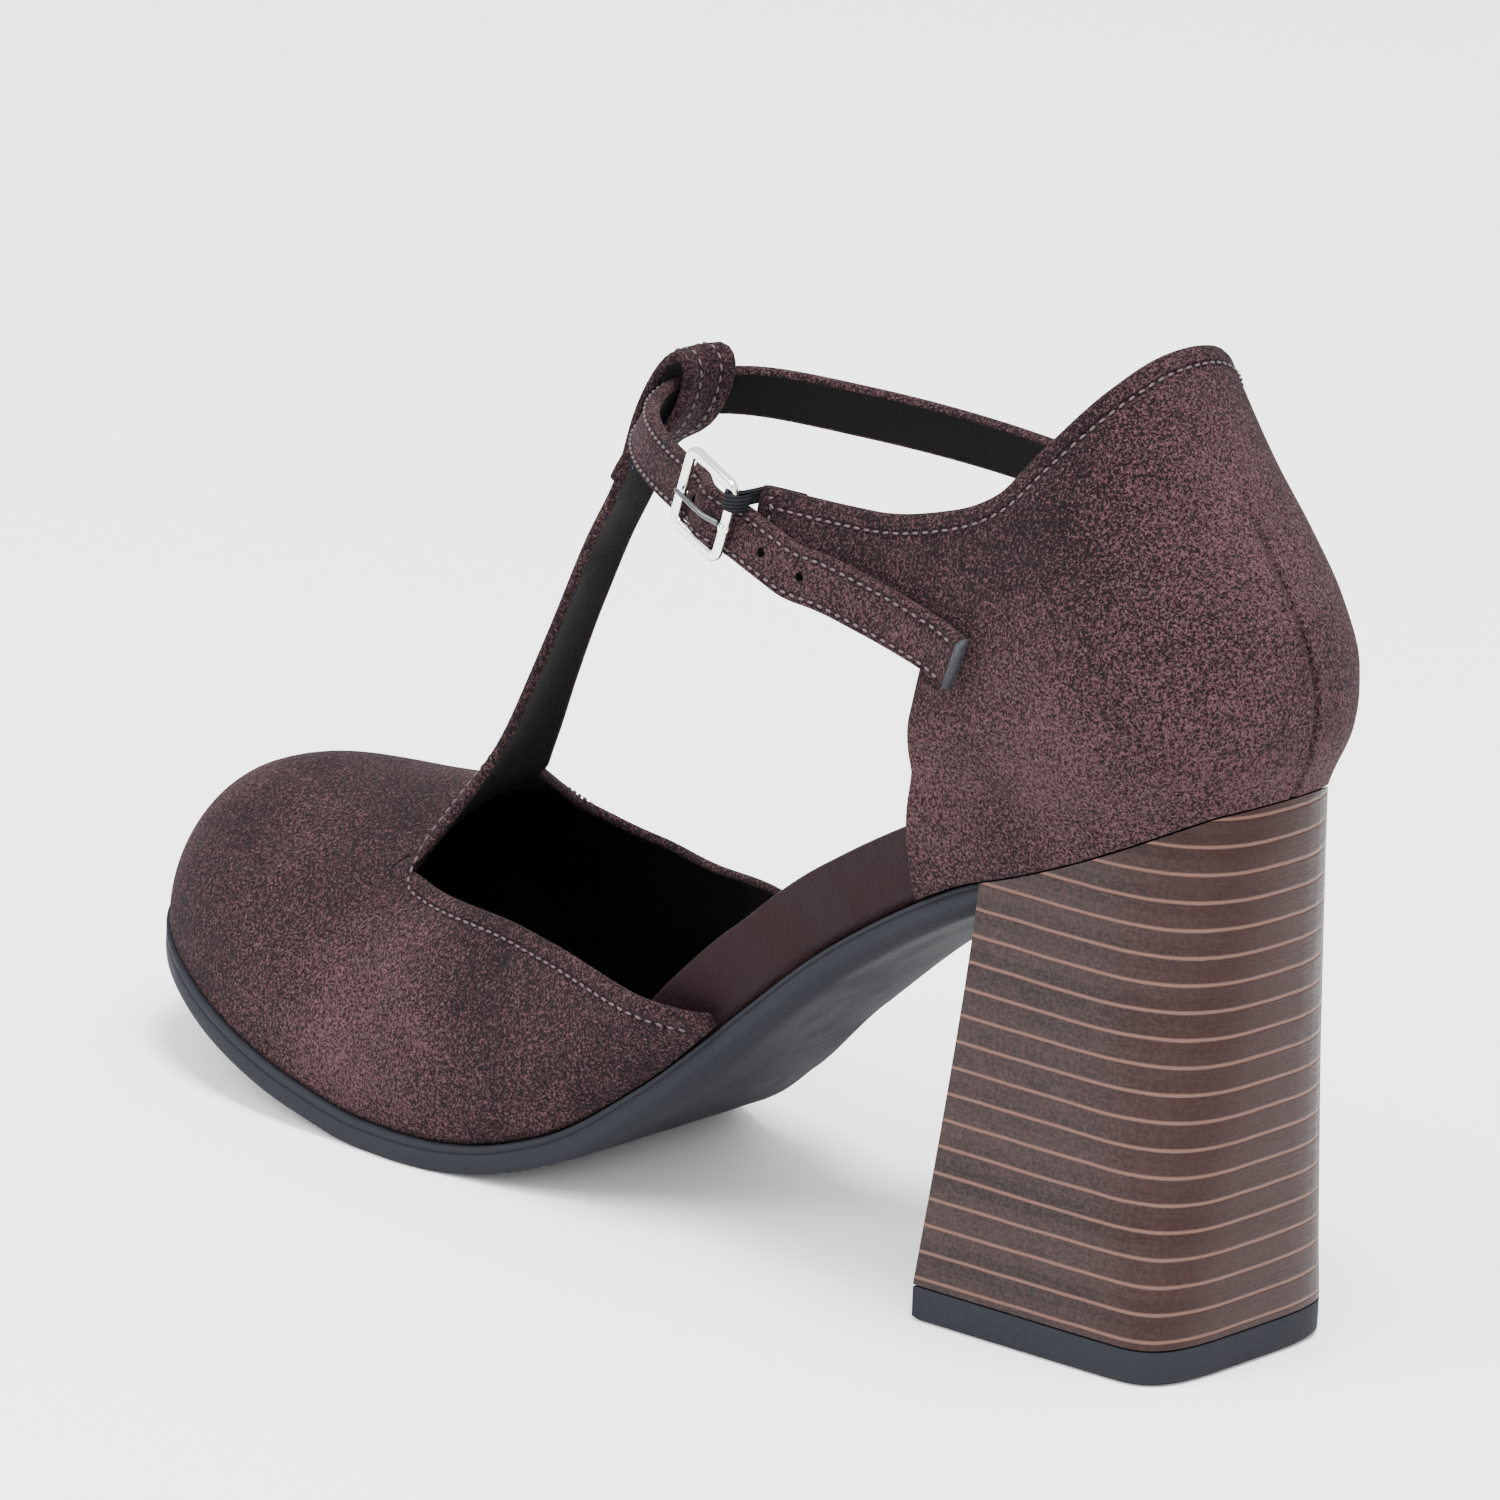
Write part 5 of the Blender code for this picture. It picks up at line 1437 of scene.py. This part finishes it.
def buckle_rings():
    """Round-edged sections of the frame's bar, all the way round its rounded rectangle."""
    inset = BUCKLE_BAR / 2
    corner = BUCKLE_CORNER - inset
    reach = np.array([BUCKLE_LENGTH, BUCKLE_HEIGHT]) / 2 - inset - corner
    plane = np.array([buckle_forward, buckle_up])
    spots, turns = [], []
    for quadrant, signs in enumerate(((1, 1), (-1, 1), (-1, -1), (1, -1))):
        for k in range(FRAME_CORNER_STEPS + 1):
            angle = (quadrant + k / FRAME_CORNER_STEPS) * math.pi / 2
            turn = np.array([math.cos(angle), math.sin(angle)])
            spots.append(buckle_centre + (reach * signs + corner * turn) @ plane)
            turns.append(turn @ plane)
    angles = np.linspace(0, 2 * math.pi, FRAME_SECTION, endpoint=False)
    section = [(squared(math.cos(a)) * inset, squared(math.sin(a)) * BUCKLE_THICKNESS / 2) for a in angles]
    return sweep(spots, turns, [buckle_away] * len(spots), section)


buckle = make_piece("buckle_bars", *loft(buckle_rings(), closed=True), [silver])
dress(buckle, "silver_metal", "buckle_frame")


# %% Prong with its knuckle
def tube(route, radii, sides=12):
    """Rings of a round bar along a route, with a radius at each place."""
    run = unit(np.gradient(route, axis=0))
    side = unit(np.cross(run, buckle_away))
    out = np.cross(side, run)
    circle = [(math.cos(a), math.sin(a)) for a in np.linspace(0, 2 * math.pi, sides, endpoint=False)]
    return sweep(route, side * radii[:, None], out * radii[:, None], circle)


PRONG_LEVEL = -0.4 * BUCKLE_RISE
prong_rear = -(BUCKLE_LENGTH / 2 - BUCKLE_BAR - CLEARANCE)
prong_front = BUCKLE_LENGTH / 2 - 0.35 * BUCKLE_BAR
prong_rest = BUCKLE_THICKNESS / 2 + CLEARANCE + PRONG_THICKNESS / 2
prong_lift = smooth_curve([0, 0.3, 0.55, 0.8, 1], [0.2, 0.9, 1.0, 1.0, 1.0])
PRONG_STEPS = 28
steps = np.linspace(0, 1, PRONG_STEPS)
prong_route = [
    buckle_centre + buckle_forward * (prong_rear + (prong_front - prong_rear) * t)
    + buckle_away * prong_rest * prong_lift(t) + buckle_up * PRONG_LEVEL
    for t in steps
]
prong_radii = PRONG_THICKNESS / 2 * (1 - 0.3 * steps) * np.minimum(1, np.sqrt(np.clip((1 - steps) * 12, 0.05, 1)))
prong_points, prong_faces = loft(tube(prong_route, prong_radii))
rear_bar = buckle_centre - buckle_forward * (BUCKLE_LENGTH / 2 - BUCKLE_BAR / 2)
KNUCKLE_HALF = 0.0008
KNUCKLE_RADIUS = 0.62 * BUCKLE_BAR
knuckle_route = [rear_bar + buckle_up * (PRONG_LEVEL + d) for d in np.linspace(-KNUCKLE_HALF, KNUCKLE_HALF, 7)]
knuckle_radii = KNUCKLE_RADIUS * np.array([0.72, 0.92, 1, 1, 1, 0.92, 0.72])
knuckle_points, knuckle_faces = loft(tube(knuckle_route, knuckle_radii, 18))
prong_side = [0] * len(prong_faces) + [1] * len(knuckle_faces)
prong_faces += [tuple(i + len(prong_points) for i in face) for face in knuckle_faces]
prong_points = np.vstack([prong_points, knuckle_points])
# The prong's bar takes the darker metal as painted shade, and the knuckle keeps the silver.
prong = make_piece("prong", prong_points, prong_faces, [painted_shade_metal, silver], prong_side)
dress(prong, "silver_metal", "buckle_prong")


# %% Elastic round the rear bar
def elastic_loop():
    """The elastic's path: from inside the tab, round the upper half of the rear bar and back."""
    tab_end = OUTER_TAB_ROWS[-1][0]
    height = SEAT_HEIGHT + BACK_HEIGHT * collar_height(tab_end) - ELASTIC_WIDTH / 2 + 0.1 * ELASTIC_WIDTH
    bar = rear_bar + buckle_up * 0.30 * BUCKLE_HEIGHT
    hold = BUCKLE_BAR / 2 + 0.55 * ELASTIC_THICKNESS
    stand = BUCKLE_THICKNESS / 2 + 0.55 * ELASTIC_THICKNESS
    inner_along = (tab_end - 0.03) * SOLE_LENGTH
    start = np.array([quarter_across(inner_along, height) - WALL - ELASTIC_THICKNESS, inner_along, height])
    tip_along = (tab_end + 0.004) * SOLE_LENGTH
    beside = np.array([quarter_across(tip_along, height) - WALL - 0.2 * ELASTIC_THICKNESS, tip_along, height])
    return np.array([
        start, beside, bar - buckle_away * stand, bar + buckle_forward * hold,
        bar + buckle_away * stand, bar - buckle_forward * hold, bar - buckle_forward * hold - buckle_away * 1.6 * stand,
    ])


LOOP_STEPS = 60
loop_line = even_line(elastic_loop(), LOOP_STEPS)[0]
loop_run = unit(np.gradient(loop_line, axis=0))
loop_up = unit(buckle_up - loop_run * (loop_run @ buckle_up)[:, None])
w, t = ELASTIC_WIDTH / 2, 0.32 * ELASTIC_THICKNESS
band = [(-w + t, -t), (w - t, -t), (w, 0), (w - t, t), (-w + t, t), (-w, 0)]
loop_rings = sweep(loop_line, loop_up, np.cross(loop_run, loop_up), band)
elastic_band = make_piece("elastic_loop", *loft(loop_rings), [elastic])
dress(elastic_band, "black_elastic", "buckle_elastic")

# %% [markdown]
# ## Stitches
# A row of small stitches follows every sewn edge, HEM or STRAP_HEM in. There are hundreds, all alike, so Geometry Nodes
# make them: each row is a line of edges that carries the direction it faces, resampled at the stitch pitch,
# with one small capsule on each point, turned along the line. Realize Instances and Set Material end the tree.


# %% The stitch tree
STITCH_INPUTS = (
    ("Geometry", "Geometry"), ("Pitch", "Float"), ("Length", "Float"), ("Thickness", "Float"), ("Sway", "Float"),
    ("Seed", "Int"), ("Thread", "Material"),
)
# Node's name here, its kind, its settings, its fixed inputs
STITCH_NODES = (
    ("given", "NodeGroupInput", {}, {}),
    ("line", "GeometryNodeMeshToCurve", {}, {}),
    ("even", "GeometryNodeResampleCurve", {"mode": "LENGTH"}, {}),
    ("capsule", "GeometryNodeMeshUVSphere", {}, {"Segments": 6, "Rings": 5, "Radius": 0.5}),
    ("size", "ShaderNodeCombineXYZ", {}, {}),
    ("stretch", "GeometryNodeTransform", {}, {}),
    ("facing", "GeometryNodeInputNamedAttribute", {"data_type": "FLOAT_VECTOR"}, {"Name": "facing"}),
    ("along", "GeometryNodeInputTangent", {}, {}),
    ("turn", "FunctionNodeAxesToRotation", {"primary_axis": "X", "secondary_axis": "Z"}, {}),
    ("sway", "FunctionNodeRandomValue", {"data_type": "FLOAT"}, {}),
    ("lower", "ShaderNodeMath", {"operation": "MULTIPLY"}, {1: -1}),
    ("swing", "FunctionNodeAxisAngleToRotation", {}, {"Axis": (0, 0, 1)}),
    ("turned", "FunctionNodeRotateRotation", {"rotation_space": "LOCAL"}, {}),
    ("sew", "GeometryNodeInstanceOnPoints", {}, {}),
    ("real", "GeometryNodeRealizeInstances", {}, {}),
    ("paint", "GeometryNodeSetMaterial", {}, {}),
    ("result", "NodeGroupOutput", {}, {}),
)
# From a node's output to a node's input
STITCH_LINKS = (
    ("given", "Geometry", "line", "Mesh"), ("line", "Curve", "even", "Curve"), ("given", "Pitch", "even", "Length"),
    ("given", "Length", "size", "X"), ("given", "Thickness", "size", "Y"), ("given", "Thickness", "size", "Z"),
    ("capsule", "Mesh", "stretch", "Geometry"), ("size", "Vector", "stretch", "Scale"),
    ("along", "Tangent", "turn", 0), ("facing", "Attribute", "turn", 1),
    ("given", "Sway", "lower", 0), ("lower", 0, "sway", 2), ("given", "Sway", "sway", 3),
    ("given", "Seed", "sway", "Seed"), ("sway", 1, "swing", "Angle"),
    ("turn", "Rotation", "turned", "Rotation"), ("swing", "Rotation", "turned", "Rotate By"),
    ("even", "Curve", "sew", "Points"), ("stretch", "Geometry", "sew", "Instance"),
    ("turned", "Rotation", "sew", "Rotation"), ("sew", "Instances", "real", "Geometry"),
    ("real", "Geometry", "paint", "Geometry"), ("given", "Thread", "paint", "Material"),
    ("paint", "Geometry", "result", "Geometry"),
)
sewing = bpy.data.node_groups.new("sewn_rows", "GeometryNodeTree")
sewing.interface.new_socket("Geometry", in_out="OUTPUT", socket_type="NodeSocketGeometry")
sewing_sockets = {
    label: sewing.interface.new_socket(label, in_out="INPUT", socket_type="NodeSocket" + kind).identifier
    for label, kind in STITCH_INPUTS
}
stitch_nodes = {}
for name, kind, settings, fixed in STITCH_NODES:
    node = stitch_nodes[name] = sewing.nodes.new(kind)
    for label, value in settings.items():
        setattr(node, label, value)
    for label, value in fixed.items():
        node.inputs[label].default_value = value
for source, output, target, socket in STITCH_LINKS:
    sewing.links.new(stitch_nodes[source].outputs[output], stitch_nodes[target].inputs[socket])
print("stitch tree inputs:", sorted(sewing_sockets))


# %% Sew the rows
STITCH_PITCH = 0.0019
STITCH_THICKNESS = 0.00052
STITCH_RISE = 0.25
STITCH_CLEAR = 0.00004
STITCH_SWAY = 0.12
STITCH_SEED = 7
HEM_STITCH = 0.0014
STRAP_STITCH = 0.0013
ABOVE_SOLE = 0.004


def sew_rows(name, paths, length):
    """One piece of stitches along paths of (place, facing) in shoe points."""
    places, facings, edges = [], [], []
    for path in paths:
        first = len(places)
        for spot, normal in path:
            places.append(spot + normal * STITCH_RISE * STITCH_THICKNESS)
            facings.append(normal)
        edges += [(first + i, first + i + 1) for i in range(len(path) - 1)]
    mesh = bpy.data.meshes.new(name)
    mesh.from_pydata(to_world(places).tolist(), edges, [])
    layer = mesh.attributes.new("facing", "FLOAT_VECTOR", "POINT")
    turned = np.array(facings) * np.array([1, -1, 1])
    layer.data.foreach_set("vector", turned.astype(np.float32).ravel())
    piece = add_object(name, mesh)
    nodes = piece.modifiers.new("sewing", "NODES")
    nodes.node_group = sewing
    settings = {
        "Pitch": STITCH_PITCH, "Length": length, "Thickness": STITCH_THICKNESS, "Sway": STITCH_SWAY,
        "Seed": STITCH_SEED, "Thread": thread,
    }
    for label, value in settings.items():
        nodes[sewing_sockets[label]] = value
    bake(piece)
    piece.data.shade_smooth()
    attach(piece, "root")


def sew_hem(name, points, faces, solid, keep):
    """Stitches on a wall's outer faces, along the border points that keep() accepts."""
    border = solid[3]
    tree = BVHTree.FromPolygons([tuple(p) for p in solid[0]], solid[1][:len(faces)])
    sew_rows(name, stitch_path(hem_chain(border, points, keep), border, points, tree, HEM), HEM_STITCH)


def off_sole(spot):
    """Whether a border point of the vamp is on its topline or the T-bar."""
    return spot[2] > feather_height(spot[1]) + ABOVE_SOLE


sew_hem("vamp_stitches", vamp_points, vamp_faces, vamp_solid, off_sole)
sew_hem("quarter_stitches", quarter_points, quarter_faces, quarter_solid, on_topline)
strap_stand = STRAP_THICKNESS / 2 * strap_swell + STITCH_CLEAR
strap_paths = []
for sign in (1, -1):
    row = strap_line + strap_up * sign * (STRAP_WIDTH / 2 - STRAP_HEM) + strap_out * strap_stand
    strap_paths.append(list(zip(row, strap_out))[3:-3])
sew_rows("strap_stitches", strap_paths, STRAP_STITCH)

# %% [markdown]
# ## Floor, light and camera
# The photo is taken in a pale studio: a white floor that runs into the wall, and large soft lights.
# The camera has the photo's angle, distance and slight roll, and it is aimed at this one shoe and zoomed in on it.

# %% Floor and world
floor_mesh = bpy.data.meshes.new("floor")
FLOOR_HALF = 6.0
corners = [(FLOOR_HALF * x, FLOOR_HALF * y, 0) for x, y in ((-1, -1), (1, -1), (1, 1), (-1, 1))]
floor_mesh.from_pydata(corners, [], [(0, 1, 2, 3)])
floor_material, tree, shader = new_material("pale_floor", 0.75, specular=0.2)
shader.inputs["Base Color"].default_value = (0.93, 0.93, 0.93, 1)
floor_mesh.materials.append(floor_material)
floor = add_object("floor", floor_mesh)
floor.location.z = -0.0002

world = bpy.data.worlds.new("studio")
bpy.context.scene.world = world
world.use_nodes = True
backdrop = world.node_tree.nodes["Background"]
backdrop.inputs["Color"].default_value = (0.92, 0.93, 0.95, 1)
backdrop.inputs["Strength"].default_value = 1.9


# %% Lights
def add_light(name, place, aim, size, power):
    """A rectangular area light at a place, pointing at a spot."""
    data = bpy.data.lights.new(name, "AREA")
    data.shape = "RECTANGLE"
    data.size, data.size_y = size
    data.energy = power
    lamp = add_object(name, data)
    lamp.location = place
    lamp.rotation_euler = (Vector(aim) - Vector(place)).to_track_quat("-Z", "Y").to_euler()


AIM = (0, -0.09, 0.06)
add_light("key", (1.5, -0.7, 1.5), AIM, (1.2, 1.0), 40)
add_light("fill", (1.5, 1.3, 0.9), AIM, (1.2, 1.0), 20)
add_light("top", (0.15, 0.35, 2.2), AIM, (0.8, 0.8), 105)
print("three soft lights")

# %% Camera
PHOTO_AZIMUTH = math.radians(40.9)
PHOTO_ELEVATION = math.radians(17.58)
PHOTO_ROLL = math.radians(2.32)
PHOTO_DISTANCE = 1.88997
PHOTO_LENS = 161.4
CLOSER = 1.78
PHOTO_TARGET = Vector((0, HEEL_MIDDLE - 0.0712, 0.060))
back = Vector((
    math.cos(PHOTO_AZIMUTH) * math.cos(PHOTO_ELEVATION),
    math.sin(PHOTO_AZIMUTH) * math.cos(PHOTO_ELEVATION),
    math.sin(PHOTO_ELEVATION),
))
view_place = PHOTO_TARGET + back * PHOTO_DISTANCE
camera_data = bpy.data.cameras.new("photo_view")
camera_data.sensor_width = 36.0
camera_data.lens = PHOTO_LENS * CLOSER
camera_data.clip_end = 50
camera = add_object("photo_view", camera_data)
camera.location = view_place
SHOE_MIDDLE = Vector((0.0, -0.0850, 0.0740))
aim_turn = (SHOE_MIDDLE - view_place).to_track_quat("-Z", "Y").to_matrix().to_4x4()
camera.rotation_euler = (aim_turn @ Matrix.Rotation(PHOTO_ROLL, 4, "Z")).to_euler()
bpy.context.scene.camera = camera

# %% Update the scene
bpy.context.view_layer.update()
